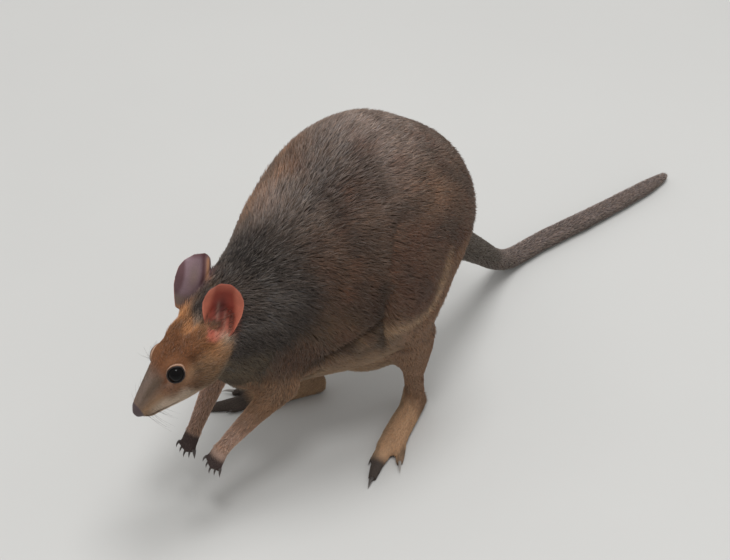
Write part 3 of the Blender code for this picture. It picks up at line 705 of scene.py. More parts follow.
def build_skin():
    """The finished skin: points, triangles, zone shares and the coat's measures."""
    fine = flesh_as_one()
    points, edges = mesh_points(fine), mesh_edges(fine)
    web = Web(edges, len(points))
    shares = zone_shares(points, web)
    passes = web.smooth(zone_value(shares, 4)[:, None], 6)[:, 0]
    for side in SIDES:
        toes = toes_of(points - SHIFT, shares, side, 0.50, 0.62)
        passes = passes * (1 - toes) + TOE_PASSES * toes
    for side in SIDES:
        _, _, gap = lid_place(points, side)
        passes = np.where(gap < EYE_RADIUS + 0.004, np.minimum(passes, LID_PASSES), passes)
    for k in range(int(passes.max())):
        gain = np.clip(passes - k, 0.0, 1.0)[:, None]
        points = points + SMOOTH_REACH * gain * (web.mean(points) - points)
    normals = point_normals(points, mesh_triangles(fine))
    depth, _, _, _ = coat_measures(points, shares)
    depth = web.smooth(depth[:, None], 10)[:, 0] + SWELL
    thin = share_of(shares, "ear_left", "ear_right")
    calm = unit(web.smooth(normals, 10, 0.8) * (1.0 - thin[:, None]) + normals * thin[:, None])
    fold = creases(points - SHIFT, calm)
    points = points - calm * (depth + fold)[:, None]
    fine.vertices.foreach_set("co", points.astype(np.float32).ravel())
    fine.update()

    holder = link_object("skin", fine)
    group = holder.vertex_groups.new(name="plain")
    plain = share_of(shares, "trunk", "neck", "pouch", "thigh_left", "thigh_right", "tail",
                     "upper_arm_left", "upper_arm_right")
    group.add(np.nonzero(plain > 0.6)[0].tolist(), 1.0, "REPLACE")
    thinner = holder.modifiers.new("thinner", "DECIMATE")
    thinner.ratio = BODY_KEEP
    thinner.vertex_group = "plain"
    skin = shaped_by(holder)
    refine(skin, face_detail, 2)

    tree = kdtree.KDTree(len(points))
    for i, point in enumerate(points):
        tree.insert(point, i)
    tree.balance()
    final = mesh_points(skin)
    source = np.array([tree.find(point)[1] for point in final])
    bpy.data.meshes.remove(fine)
    triangles = mesh_triangles(skin)
    web = Web(mesh_edges(skin), len(final))
    shares = web.smooth(shares[source], 3)
    normals = point_normals(final, triangles)
    final = carve_face(final, normals)
    final[:, 2] = np.maximum(final[:, 2], FLOOR_GAP)
    normals = point_normals(final, triangles)
    bpy.data.meshes.remove(skin)
    return final, triangles, normals, shares, web


# ---------------------------------------------------------------- markings
def ear_place(animal, side):
    """Along the ear from root to tip, across it, out of its opening, and the opening's direction."""
    root, tip, opening = EAR_ROOTS[side], EAR_TIPS[side], EAR_OPENINGS[side]
    axis = unit(tip - root)
    opening = unit(opening - axis * (opening @ axis))
    across = np.cross(axis, opening)
    away = animal - root
    return away @ axis / np.linalg.norm(tip - root), away @ across, away @ opening, opening


def layered(base, layers):
    """Lays one colour over another by its mask, in order."""
    out = np.array(base, dtype=float)
    for colour, mask in layers:
        mask = np.clip(mask, 0.0, 1.0)[:, None]
        out = out * (1.0 - mask) + np.array(colour) * mask
    return out


# patches of coat: place on the left, size, colour, strength, and the side if it lies on one alone
PATCHES = (
    # the pale patches on top of the back, and the right-only one on the flank's edge, are painted sheen
    ((.012, -.024, .337), .052, "crown_light", .85), ((.022, .004, .322), .026, "crown_light", .60),
    ((.000, -.092, .322), .036, "grey_tips", .50), ((.030, -.098, .305), .026, "flank_dark", .40),
    ((.064, -.013, .292), .026, "rump_tan", .80), ((.055, .026, .281), .016, "rump_tan", .55),
    ((.066, .004, .284), .020, "rump_tan", .45), ((.080, .011, .240), .019, "flank_dark", .90),
    ((.079, -.004, .254), .016, "flank_dark", .55), ((.083, -.053, .262), .020, "flank_red", .75),
    ((.089, -.060, .230), .020, "flank_red", .55), ((.071, -.093, .271), .018, "flank_dark", .60),
    ((.040, -.083, .314), .018, "flank_red", .40), ((.073, -.122, .208), .020, "golden", .65),
    ((.066, -.137, .199), .015, "golden", .60), ((.083, -.100, .217), .016, "flank_red", .70),
    ((.051, -.177, .187), .020, "patch", .97), ((.053, -.162, .199), .011, "patch", .85),
    ((.054, -.160, .168), .011, "patch", .75), ((.036, -.206, .202), .011, "patch", .75),
    ((.016, -.178, .264), .025, "patch", .90), ((.050, -.155, .234), .014, "patch", .30),
    ((.036, -.178, .241), .008, "grey_tips", .70), ((.043, -.164, .241), .007, "grey_tips", .45),
    ((.004, -.120, .303), .024, "grey_tips", .35), ((.038, -.190, .224), .014, "grey_tips", .25),
    ((.047, .007, .305), .018, "flank_dark", .55), ((.066, .028, .259), .022, "flank", .95),
    ((.045, .048, .240), .024, "flank", .75), ((.089, -.044, .206), .022, "flank_red", .75),
    ((.033, -.090, .315), .020, "flank_dark", .45),
    # painted sheen along the right flank's edge
    ((.026, -.132, .286), .020, "crown_light", .55, "right"),
    ((.059, -.152, .196), .012, "golden", .45), ((.030, -.186, .148), .020, "golden", .70),
    ((.034, -.197, .166), .014, "throat", .50), ((.040, -.098, .303), .024, "rump_tan", .90, "right"),
    ((.052, -.122, .270), .024, "rump_tan", .85, "right"),
    ((.060, -.080, .285), .026, "rump_tan", .60, "right"),
)
LIMB_TOPS = ("thigh_left", "thigh_right", "upper_arm_left", "upper_arm_right")

# lines on the face, along, across and above the head, and along and above it
BROW = ((.0160, .0010, .0300), (.0110, .0050, .0310), (.0060, .0110, .0280), (.0020, .0160, .0230),
        (-.001, .0190, .0170))
STREAK = ((.094, .0190), (.084, .0215), (.074, .0232), (.062, .0250))

# how far along the forearm, hand and foot each tone begins and is full, as shares
FORE_PALE = {"left": (0.35, 0.85), "right": (0.00, 0.40)}
HAND_DARK = {"left": (0.15, 0.55), "right": (-0.10, 0.25)}
# the right foot's dark reaches further back than the left's: painted shadow where that foot lies under the
# body
TOES_DARK_AND_SHADOW = {"left": (0.70, 0.84), "right": (0.48, 0.66)}


def survey(points, normals, shares):
    """What the markings go by: the colours, and each point's place, slope, zones and noise."""
    animal = points - SHIFT
    forward, aside, up = head_place(animal)
    return SimpleNamespace(
        c=bpy.context.scene.pademelon_colours, points=points, animal=animal, normals=normals,
        shares=shares, facing_up=normals[:, 2], wave=noise(animal, 0.020, 3) - 0.5,
        fleck=noise(animal, 0.006, 5) - 0.5, torso=share_of(shares, "trunk", "neck", "pouch"),
        head=share_of(shares, "head", "jaw"), forward=forward, aside=aside, side_face=np.abs(aside), up=up)


def height_on(path, y):
    """The height of a path of (y, z) places, listed from the back forward, at each y."""
    return np.interp(-y, [-place[0] for place in path], [place[1] for place in path])


def hollows(skin):
    """How deep each point lies in a crease of the trunk, 0 to 1, for the painted shade there, and the bulge
    of the belly below.
    """
    hollow, bulge = np.zeros(len(skin.animal)), np.zeros(len(skin.animal))
    for side in SIDES:
        flat, outer = beside(skin.animal, skin.normals, side)
        y, z = flat.T
        fold = height_on(BELLY_FOLD, y)
        bulge = np.maximum(bulge, outer * soft(fold + 0.004 * skin.wave - z, -0.002, 0.008)
                           * soft(-y, 0.062, 0.084) * (1 - soft(-y, 0.132, 0.155)))
        share, gap, _ = along_path(flat + np.array((0.008, -0.002)), THIGH_CREASE)
        gap = gap + 0.006 * soft(share, 0.75, 1.0)
        _, other, _ = along_path(flat + np.array((0.002, -0.001)), BELLY_FOLD)
        _, ridge, _ = along_path(flat, THIGH_RIDGE)
        share, rear_break, _ = along_path(skin.animal * mirror(side), RUMP_BREAK)
        # painted shade: darkest in the thigh crease and belly fold, fainter along the thigh's ridge and
        # along the rump's break
        for depth in (outer * np.maximum(bell(gap, 0.0080), 0.85 * bell(other, 0.0070)),
                      0.45 * outer * bell(ridge, 0.0040),
                      0.90 * bell(rear_break * (1 + 0.8 * skin.fleck), 0.0048)
                      * (1.0 - 0.6 * np.abs(2 * share - 1))):
            hollow = np.maximum(hollow, depth)
    return hollow, bulge


def trunk_colours(skin, back, below, bulge):
    """The back, flanks, belly, neck and shoulders, with their patches and mottling."""
    c, wave, torso, animal = skin.c, skin.wave, skin.torso, skin.animal
    _, y, z = animal.T
    front = soft(-y + 0.024 * wave + 0.18 * (z - 0.22), 0.118, 0.162)
    rump = soft(y, -0.050, 0.020)
    chest = soft(-y, 0.12, 0.17) * soft(0.170 - z, -0.012, 0.015)
    throat = soft(-y, 0.165, 0.190) * soft(0.192 - z + 0.006 * wave, -0.006, 0.010)
    colour = layered(np.tile(np.array(c.flank), (len(animal), 1)), [
        (c.back, (0.80 - 0.35 * rump) * back * torso),
        (c.charcoal, front * (1 - 0.25 * back)),
        (c.belly, below * torso * (1 - front * 0.4)),
        (c.belly, share_of(skin.shares, "pouch")),
        (c.belly, 0.92 * bulge * torso),
        (c.throat, 0.75 * chest * torso * below),
        (c.throat, 0.80 * throat),
    ])
    coat = torso + share_of(skin.shares, *LIMB_TOPS)
    for place, size, name, strength, *only in PATCHES:
        for side in only or SIDES:
            away = np.linalg.norm(animal * mirror(side) - np.array(place), axis=1)
            gap = away * (1.0 + 0.45 * skin.fleck + 0.30 * wave)
            colour = layered(colour, [(getattr(c, name), strength * bell(gap, size) * coat)])
    clump = noise(animal, 0.011, 21)
    blotch = noise(animal * np.array((1.0, 0.8, 1.0)), 0.017, 23)
    mottle = coat * (1.0 - below) * (1.0 - front)
    return layered(colour, [
        (c.flank_red, 0.50 * mottle * soft(clump, 0.52, 0.80)),
        (c.flank_dark, 0.55 * mottle * soft(blotch, 0.56, 0.82)),
        (c.back, 0.35 * mottle * soft(1.0 - blotch, 0.55, 0.85) * soft(z, 0.20, 0.30)),
        (c.patch, 0.40 * coat * front * soft(blotch, 0.55, 0.85)),
        (c.grey_tips, 0.35 * coat * front * soft(clump, 0.55, 0.85)),
    ])


def leg_colours(skin, colour, side):
    """The thigh with its cream stripe, the shank and the foot."""
    c, wave, normals, sign = skin.c, skin.wave, skin.normals, SIGNS[side]
    flat, outer = beside(skin.animal, normals, side)
    thigh, shank, foot = (share_of(skin.shares, zone + side) for zone in ("thigh_", "shank_", "foot_"))
    share, gap, _ = along_path(flat, HIP_STRIPE)
    stripe = bell(gap * (1.0 + 0.4 * skin.fleck), 0.0046 + 0.0034 * share)
    stripe = stripe * (thigh + skin.torso + shank) * outer
    below_stripe = soft(height_on(HIP_STRIPE, flat[:, 0]) - flat[:, 1], 0.0, 0.008)
    inner = soft(-normals[:, 0] * sign, 0.1, 0.6)
    foot_share, _ = along(skin.animal, ANKLES[side], TOES[side])
    heading = unit(TOES[side][:2] - ANKLES[side][:2])
    outward = (skin.animal[:, :2] - ANKLES[side][:2]) @ np.array((-heading[1], heading[0])) * sign
    rear = soft(normals[:, 1] + 0.3 * wave, -0.05, 0.55)
    return layered(colour, [
        (c.belly, thigh * inner * 0.8),
        (c.shank, 0.9 * np.clip(shank + foot, 0, 1)),
        (c.shank_back, 0.75 * shank * rear),
        (c.shank, 0.85 * thigh * below_stripe * outer),
        (c.shank_back, 0.6 * thigh * below_stripe * rear),
        (c.shank_back, 0.55 * (thigh + skin.torso) * outer * below_stripe * bell(gap - .0100, .0045)
         * (1 - soft(share, .6, .9))),
        (c.stripe, 0.95 * stripe),
        (c.foot, foot * soft(foot_share, 0.02, 0.22) * soft(skin.facing_up + 0.35, -0.2, 0.3)),
        (c.stripe, foot * 0.8 * soft(-normals[:, 0] * sign + 0.2 * wave, 0.05, 0.60)),
        (c.toes, 0.6 * foot * soft(outward, .0105, .0145) * soft(foot_share, 0.50, 0.60)),
        # dark toes, and on the right foot painted shadow further back
        (c.toes, foot * soft(foot_share + 0.08 * wave, *TOES_DARK_AND_SHADOW[side])),
        (c.toes, foot * soft(-skin.facing_up, 0.5, 0.9)),
    ])


def arm_colours(skin, colour, side):
    """The arm, paling to the wrist, and the dark hand."""
    c = skin.c
    arm, fore, paw = (share_of(skin.shares, zone + side) for zone in ("upper_arm_", "forearm_", "paw_"))
    fore_share, _ = along(skin.animal, ELBOWS[side], WRISTS[side])
    paw_share, _ = along(skin.animal, WRISTS[side], FINGERS[side])
    pale = soft(fore_share + 0.15 * skin.wave, *FORE_PALE[side])
    return layered(colour, [
        (c.flank, 0.7 * arm),
        (c.forearm, 0.9 * soft(0.160 - skin.animal[:, 2], -0.006, 0.012) * arm),
        (c.forearm, fore),
        (c.wrist, fore * pale * (0.55 + 0.35 * soft(skin.normals @ FORWARD, -0.2, 0.5))),
        (c.wrist, paw * 0.8),
        (c.paw, paw * soft(paw_share + 0.10 * skin.wave, *HAND_DARK[side])),
    ])


def tail_colours(skin, colour, tail):
    """The tail, dark at its base and below, and paler on top further out; the dark below is partly painted
    shade.
    """
    c = skin.c
    share, _, _ = along_path(skin.animal, TAIL_LINE)
    return layered(colour, [
        (c.tail_root, tail * soft(share, 0.04, 0.14)),
        (c.tail, tail * soft(share + 0.10 * skin.wave, 0.30, 0.52)
         * (0.65 + 0.35 * soft(skin.facing_up, -0.2, 0.7))),
        # darker underside: partly painted shade
        (c.tail_under, tail * soft(-skin.facing_up, 0.15, 0.75) * soft(share, 0.15, 0.35)),
    ])


def head_colours(skin, colour):
    """The forehead, cheeks, muzzle, lips and crown, with a painted shadow along the right ear's base."""
    c, head, side_face = skin.c, skin.head, skin.side_face
    forward, aside, up = skin.forward, skin.aside, skin.up
    _, streak, _ = along_path(np.stack((forward, up), 1), STREAK)
    _, brow, _ = along_path(np.stack((forward, side_face, up), 1), BROW)
    top = soft(skin.normals @ UP, 0.25, 0.80)
    nape = 1.0 - soft(forward, -0.006, 0.010)

    def spot(at_forward, at_up, size, stretch=1.0):
        return bell(np.hypot((forward - at_forward) * stretch, up - at_up), size)

    return layered(colour, [
        (c.cheek, head),
        (c.forehead, head * soft(up + 0.006 * skin.wave, 0.012, 0.026) * (1 - nape)),
        (c.cheek_red, head * 0.7 * spot(.060, .017, 0.010)),
        (c.cheek_red, head * 0.4 * spot(.046, .006, 0.010)),
        (c.bridge, head * top * soft(forward, 0.050, 0.070)),
        (c.streak, head * 0.7 * bell(streak, 0.0036) * soft(side_face, 0.003, 0.007)),
        (c.streak, head * 0.35 * spot(.046, -.001, 0.007, 0.6)),
        (c.lip, head * 0.95 * spot(.078, .0060, 0.0052, 0.42) * soft(side_face, 0.002, 0.006)),
        (c.lip, share_of(skin.shares, "jaw") * 0.75),
        (c.lip, head * soft(-up, 0.004, 0.012) * soft(forward, 0.030, 0.060) * 0.6),
        (c.throat, head * soft(-up, 0.004, 0.014) * (1 - soft(forward, 0.020, 0.045))),
        (c.charcoal, head * nape * soft(up, 0.000, 0.016)),
        # painted shadow: a dark stripe right of the crown's middle, along the front edge of the right ear's
        # base
        (c.crown, head * bell(aside + 0.0035 + 0.4 * forward, 0.0038)
         * (1 - soft(forward, 0.014, 0.026)) * soft(up, 0.015, 0.028) * 0.9),
        (c.lip, head * 0.5 * bell(np.hypot(forward - .005, aside - .0025), 0.0050) * soft(up, .020, .030)),
        (c.ear_base, head * 0.80 * bell(brow * (1 + 0.5 * skin.fleck), 0.0048)),
        (c.crown, head * spot(.034, .010, 0.0035) * soft(side_face, .018, .022) * 0.5),
    ])


def ear_colours(skin, face, side):
    """The bare red inside and the furred back of an ear, and how much each point lies in its bowl."""
    c, fleck = skin.c, skin.fleck
    t, across, out, opening = ear_place(skin.animal, side)
    facing = skin.normals @ opening
    near = bell(np.linalg.norm(skin.animal - EAR_ROOTS[side] - np.array((0, -.008, -.002)), axis=1), 0.0150)
    face = layered(face, [(c.ear_base, skin.head * near * 0.95 * soft(skin.side_face, 0.006, 0.012))])
    bowl = (soft(t, 0.02, 0.12) * (1 - soft(np.abs(across + .002), .0085, .0125))
            * soft(out, -.014, -.011) * (1 - soft(out, .0150, .0190)) * (1 - soft(t, 0.55, 0.75)))
    bowl *= soft(facing, 0.0, 0.25) * (1 - soft(-out, 0.002, 0.006) * (1 - soft(t, 0.08, 0.16)))
    ear = np.maximum(share_of(skin.shares, "ear_" + side), bowl)
    inner = soft(facing, -0.05, 0.25)
    inside, outer = ear * inner, ear * (1 - inner)
    edge = soft(np.abs(across) + 0.010 * np.maximum(t - 0.5, 0), 0.0085, 0.0150)
    rim = np.maximum(soft(np.abs(across), .0120, .0150), soft(t, .88, .98))
    ridge = (bell(np.abs(across + .0035) * (1 + 0.5 * fleck), 0.0014)
             * soft(t, .10, .25) * (1 - soft(t, .42, .6)))
    return layered(face, [
        (c.ear_back, outer),
        # painted highlight: a paler grey-brown spot on the back of the ear, beside the dark strip
        (c.bridge, outer * 0.6 * bell(across - 0.006, 0.0045) * bell(t - 0.62, 0.20)),
        (c.ear_dark, outer * 0.80 * bell(across + 0.0035, 0.0030) * soft(t, .30, .50)),
        (c.ear_base, outer * 0.55 * bell(across + 0.0095, 0.0030) * soft(t, .25, .50)
         * (1 - soft(t, .85, .95))),
        (c.ear_dark, outer * 0.75 * rim),
        (c.bridge, outer * 0.9 * (1 - soft(t + 0.10 * skin.wave, 0.22, 0.38))),
        (c.ear_base, outer * 0.7 * (1 - soft(t, 0.00, 0.14))),
        (c.ear_inside, inside),
        # painted shade in the middle of the ear's bowl
        (c.ear_deep, inside * 0.85 * bell(across + .001, .0065) * bell(t - 0.42, 0.22)),
        (c.ear_rim, inside * np.maximum(0.9 * edge, 0.45 * soft(t, 0.70, 0.98))),
        (c.ear_rim, inside * 0.70 * bell(t - 0.10, 0.14)),
        (c.lip, inside * 0.16 * ridge),
        (c.lip, inside * 0.22 * bell(across - .0035, .0012) * bell(t - 0.22, 0.12)),
    ]), bowl


def eye_surrounds(skin):
    """The dark edges of the lids and the pale ring above each eye."""
    dark, ringed = np.zeros(len(skin.points)), np.zeros(len(skin.points))
    for side in SIDES:
        ring, turn, gap = lid_place(skin.points, side)
        close = (gap < EYE_RADIUS + 0.006)
        dark = np.maximum(dark, close * (1.0 - soft(ring, 1.04, 1.11)))
        above = soft(np.sin(turn - 0.5), -0.3, 0.5)
        ringed = np.maximum(ringed, close * bell(ring - 1.24, 0.085) * (0.35 + 0.65 * above))
    return dark, ringed


def markings(points, normals, shares):
    """Colour, painted shade included, share of grizzled tufts, bareness and wetness of the skin and the
    coat over it.
    """
    skin = survey(points, normals, shares)
    c, head, forward, up, torso = skin.c, skin.head, skin.forward, skin.up, skin.torso
    back = soft(skin.facing_up + 0.30 * skin.wave, 0.25, 0.85)
    below = soft(-skin.facing_up + 0.25 * skin.wave, 0.15, 0.62)
    hollow, bulge = hollows(skin)
    colour = trunk_colours(skin, back, below, bulge)
    for side in SIDES:
        colour = arm_colours(skin, leg_colours(skin, colour, side), side)
    tail = share_of(shares, "tail")
    face = head_colours(skin, tail_colours(skin, colour, tail))
    bowls, furry = np.zeros(len(points)), np.zeros(len(points))
    for side in SIDES:
        face, bowl = ear_colours(skin, face, side)
        bowls = np.maximum(bowls, bowl)
        t, _, _, opening = ear_place(skin.animal, side)
        furry += share_of(shares, "ear_" + side) * (1 - soft(normals @ opening, -0.05, 0.25)) * (
            1 - soft(t, 0.25, 0.42))
    from_tuft = np.stack((forward + .0030, skin.side_face - .0212, up - .0097), 1)
    tuft = bell(np.linalg.norm(from_tuft, axis=1), .0066)
    nose = share_of(shares, "nose")
    bridge_skin = head * bell(skin.aside, 0.0040) * soft(forward, 0.088, 0.097) * soft(up, 0.012, 0.016)
    pad = np.clip(soft(nose, 0.30, 0.60) + 0.8 * bridge_skin, 0, 1)
    dark, ringed = eye_surrounds(skin)
    colour = layered(face, [
        (c.lip, 0.95 * tuft * np.clip(head + share_of(shares, "neck"), 0, 1)),
        (c.nose, pad),
        (np.array(c.lip) * np.array((1.0, 0.86, 0.82)), head * ringed * 0.8),
        (c.lid, dark),
        (c.lid, head * mouth_mask(skin.animal, 0.0010) * soft(forward, .052, .064) * 0.9),
        # painted shade: the nostril openings are near black
        (np.array(c.lid) * 0.6, nostril_mask(skin.animal, 0.0020) * np.clip(nose + head, 0, 1)
         * soft(forward, 0.095, 0.100)),
    ])
    # painted shade: the trunk's creases are darkened by up to 0.76, on top of random changes of tone
    shade = (1.0 + 0.16 * skin.wave + 0.12 * skin.fleck) * (1.0 - 0.76 * hollow * (1 - head))
    colour = np.clip(colour * shade[:, None], 0.001, 1.0)

    ears = share_of(shares, "ear_left", "ear_right")
    bare = np.clip(pad + dark + 0.85 * np.maximum(ears - furry, 1.18 * bowls)
                   + 0.8 * head * mouth_mask(skin.animal, 0.0009), 0.0, 1.0)
    wet = np.clip(soft(nose, 0.4, 0.7) + 0.6 * dark, 0.0, 1.0)
    grizzle = (torso * (0.25 + 0.75 * back) * (1 - below) + 0.5 * tail
               + 0.35 * share_of(shares, *LIMB_TOPS) + 0.45 * head)
    return colour, np.clip(grizzle, 0, 1), bare, wet


# each limb's zone, its line from joint to joint, and its coat's slot
LIMBS = (("thigh", HIPS, KNEES, "warm_brown_fur"), ("shank", KNEES, ANKLES, "tan_fur"),
         ("foot", ANKLES, TOES, "tan_fur"), ("upper_arm", SHOULDERS, ELBOWS, "warm_brown_fur"),
         ("forearm", ELBOWS, WRISTS, "tan_fur"), ("paw", WRISTS, FINGERS, "dark_brown_fur"))
THIGH_SWEEP = np.array((0, .070, 0))       # the thigh's hair lies back as well as down


def lie_of_coat(points, normals, shares, web):
    """The way the hair lies at each point, along the skin."""
    animal = points - SHIFT
    _, _, up = head_place(animal)
    count = len(points)
    way = np.zeros((count, 3))

    def add(zone_names, direction):
        direction = np.broadcast_to(np.array(direction, dtype=float), (count, 3))
        way[:] += share_of(shares, *zone_names)[:, None] * unit(direction)

    slope = np.clip(0.15 + 0.55 * (1.0 - normals[:, 2]), 0.1, 0.8)
    trunk_way = np.stack((np.zeros(count), np.ones(count), -slope), 1)
    belly = soft(-normals[:, 2], 0.2, 0.7)[:, None]
    trunk_way = trunk_way * (1 - belly) + np.array((0.0, 1.0, 0.15)) * belly
    add(("trunk", "pouch"), trunk_way)
    add(("neck",), trunk_way + np.array((0.0, 0.0, -0.15)))
    add(("head", "jaw", "nose"), -FORWARD - 0.35 * UP * (1 - soft(up, 0.0, 0.02))[:, None])
    for side in SIDES:
        add(("ear_" + side,), EAR_TIPS[side] - EAR_ROOTS[side])
        for zone, start, end, _ in LIMBS:
            add((zone + "_" + side,), end[side] - start[side] + (THIGH_SWEEP if zone == "thigh" else 0.0))
    _, _, tail_way = along_path(animal, TAIL_LINE)
    add(("tail",), tail_way)
    for _ in range(14):
        way = web.mean(way)
        way = unit(way - normals * np.sum(way * normals, axis=1)[:, None])
    return way


# ---------------------------------------------------------------- materials
def shader_material(name):
    material = bpy.data.materials.new(name)
    material.use_nodes = True
    nodes, links = material.node_tree.nodes, material.node_tree.links
    return material, nodes, links, nodes["Principled BSDF"]


def set_inputs(node, **values):
    """Sets input sockets by name, with _ standing for a space."""
    for name, value in values.items():
        node.inputs[name.replace("_", " ")].default_value = value


def add_node(nodes, kind, settings=None, **inputs):
    """A shader node with its settings and input sockets filled in."""
    node = nodes.new("ShaderNode" + kind)
    for name, value in (settings or {}).items():
        setattr(node, name, value)
    set_inputs(node, **inputs)
    return node


def read_attribute(nodes, name):
    return add_node(nodes, "Attribute", {"attribute_name": name})


def wire(links, *pairs):
    """Links sockets, each given as its node and name: from, its output, to, its input."""
    for source, leaving, target, entering in pairs:
        links.new(source.outputs[leaving], target.inputs[entering])


def hair_tone_group():
    """Fine changes of tone and height that the skin and every coat piece share."""
    if "fine_hair" in bpy.data.node_groups:
        return bpy.data.node_groups["fine_hair"]
    group = bpy.data.node_groups.new("fine_hair", "ShaderNodeTree")
    face, nodes = group.interface, group.nodes
    face.new_socket("Colour", in_out="INPUT", socket_type="NodeSocketColor")
    for name, value in (("Amount", 0.3), ("Scale", 700.0)):
        face.new_socket(name, in_out="INPUT", socket_type="NodeSocketFloat").default_value = value
    face.new_socket("Colour", in_out="OUTPUT", socket_type="NodeSocketColor")
    face.new_socket("Height", in_out="OUTPUT", socket_type="NodeSocketFloat")
    enter, leave = nodes.new("NodeGroupInput"), nodes.new("NodeGroupOutput")
    place = add_node(nodes, "TexCoord")
    strand = add_node(nodes, "TexNoise", Detail=3.0, Roughness=0.65)
    broad = add_node(nodes, "TexNoise", Scale=55.0, Detail=2.0)
    both = add_node(nodes, "Mix", {"data_type": "FLOAT"}, Factor=0.35)
    tone = add_node(nodes, "MapRange", From_Min=0.25, From_Max=0.75)
    low = add_node(nodes, "Math", {"operation": "SUBTRACT"}, Value=1.0)
    high = add_node(nodes, "Math", {"operation": "ADD"}, Value=1.0)
    scaled = add_node(nodes, "VectorMath", {"operation": "SCALE"})
    wire(group.links, (place, "Object", strand, "Vector"), (place, "Object", broad, "Vector"),
         (enter, "Scale", strand, "Scale"), (strand, "Fac", both, "A"), (broad, "Fac", both, "B"),
         (both, "Result", tone, "Value"), (enter, "Amount", low, 1), (enter, "Amount", high, 1),
         (low, 0, tone, "To Min"), (high, 0, tone, "To Max"), (enter, "Colour", scaled, 0),
         (tone, "Result", scaled, "Scale"), (scaled, 0, leave, "Colour"), (strand, "Fac", leave, "Height"))
    return group


def add_hair_tone(nodes, links, shader, amount, scale, bump, distance):
    """Colours a shader from the piece's own colours, with fine changes of tone and relief."""
    colour = read_attribute(nodes, "coat_colour")
    tone = add_node(nodes, "Group", {"node_tree": hair_tone_group()}, Amount=amount, Scale=scale)
    relief = add_node(nodes, "Bump", Strength=bump, Distance=distance)
    wire(links, (colour, "Color", tone, "Colour"), (tone, "Colour", shader, "Base Color"),
         (tone, "Height", relief, "Height"), (relief, "Normal", shader, "Normal"))


def skin_material():
    material, nodes, links, shader = shader_material("skin_and_short_fur")
    add_hair_tone(nodes, links, shader, 0.22, 900.0, 0.35, 0.0004)
    bare, wet = read_attribute(nodes, "bareness"), read_attribute(nodes, "wetness")
    dry_gloss = add_node(nodes, "MapRange", To_Min=0.88, To_Max=0.52)
    gloss = add_node(nodes, "Mix", {"data_type": "FLOAT"}, B=0.34)
    wire(links, (bare, "Fac", dry_gloss, "Value"), (dry_gloss, "Result", gloss, "A"),
         (wet, "Fac", gloss, "Factor"), (gloss, "Result", shader, "Roughness"))
    set_inputs(shader, Specular_IOR_Level=0.35)
    return material


def coat_material():
    if "coat" in bpy.data.materials:
        return bpy.data.materials["coat"]
    material, nodes, links, shader = shader_material("coat")
    add_hair_tone(nodes, links, shader, 0.16, 420.0, 0.15, 0.0003)
    set_inputs(shader, Roughness=0.72, Specular_IOR_Level=0.28, Sheen_Weight=0.16, Sheen_Roughness=0.50,
               Sheen_Tint=(0.90, 0.72, 0.58, 1.0))
    return material


def horn_material():
    material, nodes, links, shader = shader_material("horn")
    add_hair_tone(nodes, links, shader, 0.18, 1600.0, 0.20, 0.0002)
    set_inputs(shader, Roughness=0.42, Coat_Weight=0.12)
    return material


def eye_material():
    material, nodes, links, shader = shader_material("dark_eye")
    iris, place = read_attribute(nodes, "iris"), add_node(nodes, "TexCoord")
    fibres = add_node(nodes, "TexNoise", Scale=900.0)
    shade = add_node(nodes, "Math", {"operation": "MULTIPLY"})
    mix = add_node(nodes, "Mix", {"data_type": "RGBA"}, B=(*linear(12, 9, 8), 1.0),
                   A=(*bpy.context.scene.pademelon_colours.eye, 1.0))
    wire(links, (place, "Object", fibres, "Vector"), (iris, "Fac", shade, 0), (fibres, "Fac", shade, 1),
         (shade, 0, mix, "Factor"), (mix, "Result", shader, "Base Color"))
    set_inputs(shader, Roughness=0.05, IOR=1.38, Specular_IOR_Level=0.21)
    return material


def whisker_material():
    material, nodes, links, shader = shader_material("whisker_hair")
    add_hair_tone(nodes, links, shader, 0.15, 500.0, 0.05, 0.0001)
    set_inputs(shader, Roughness=0.40)
    return material


def floor_material():
    material, nodes, links, shader = shader_material("pale_floor")
    floor = bpy.context.scene.pademelon_stage.floor
    place, cloud = add_node(nodes, "TexCoord"), add_node(nodes, "TexNoise", Scale=3.0, Detail=4.0)
    tone = add_node(nodes, "Mix", {"data_type": "RGBA"}, A=(*[v * 0.96 for v in floor], 1.0),
                    B=(*[min(1.0, v * 1.03) for v in floor], 1.0))
    wire(links, (place, "Object", cloud, "Vector"), (cloud, "Fac", tone, "Factor"),
         (tone, "Result", shader, "Base Color"))
    set_inputs(shader, Roughness=0.9, Specular_IOR_Level=0.2)
    return material


# ---------------------------------------------------------------- the coat
TUFT_CORNERS = np.array(((0, 1, 4), (0, 4, 3), (1, 2, 5), (1, 5, 4), (2, 0, 3), (2, 3, 5),
                         (0, 2, 1), (3, 4, 6), (4, 5, 6), (5, 3, 6)))
TUFT_PATCHES = np.array((((0, 0), (1, 0), (1, .5)), ((0, 0), (1, .5), (0, .5)),
                         ((1, 0), (2, 0), (2, .5)), ((1, 0), (2, .5), (1, .5)),
                         ((2, 0), (3, 0), (3, .5)), ((2, 0), (3, .5), (2, .5)),
                         ((0, 0), (2, 0), (1, .05)), ((0, .5), (1, .5), (.5, 1)),
                         ((1, .5), (2, .5), (1.5, 1)), ((2, .5), (3, .5), (2.5, 1)))) / np.array((3.0, 1.0))
SPIKE_CORNERS = np.array(((0, 1, 3), (1, 2, 3), (2, 0, 3), (0, 2, 1)))
SPIKE_PATCHES = np.array((((0, 0), (1, 0), (.5, 1)), ((1, 0), (2, 0), (1.5, 1)),
                          ((2, 0), (3, 0), (2.5, 1)), ((0, 0), (2, 0), (1, .05)))) / np.array((3.0, 1.0))
# how far along its tuft each point is
TUFT_STEPS = np.array((0.0, 0.0, 0.0, 0.5, 0.5, 0.5, 1.0))
SPIKE_STEPS = np.array((0.0, 0.0, 0.0, 1.0))

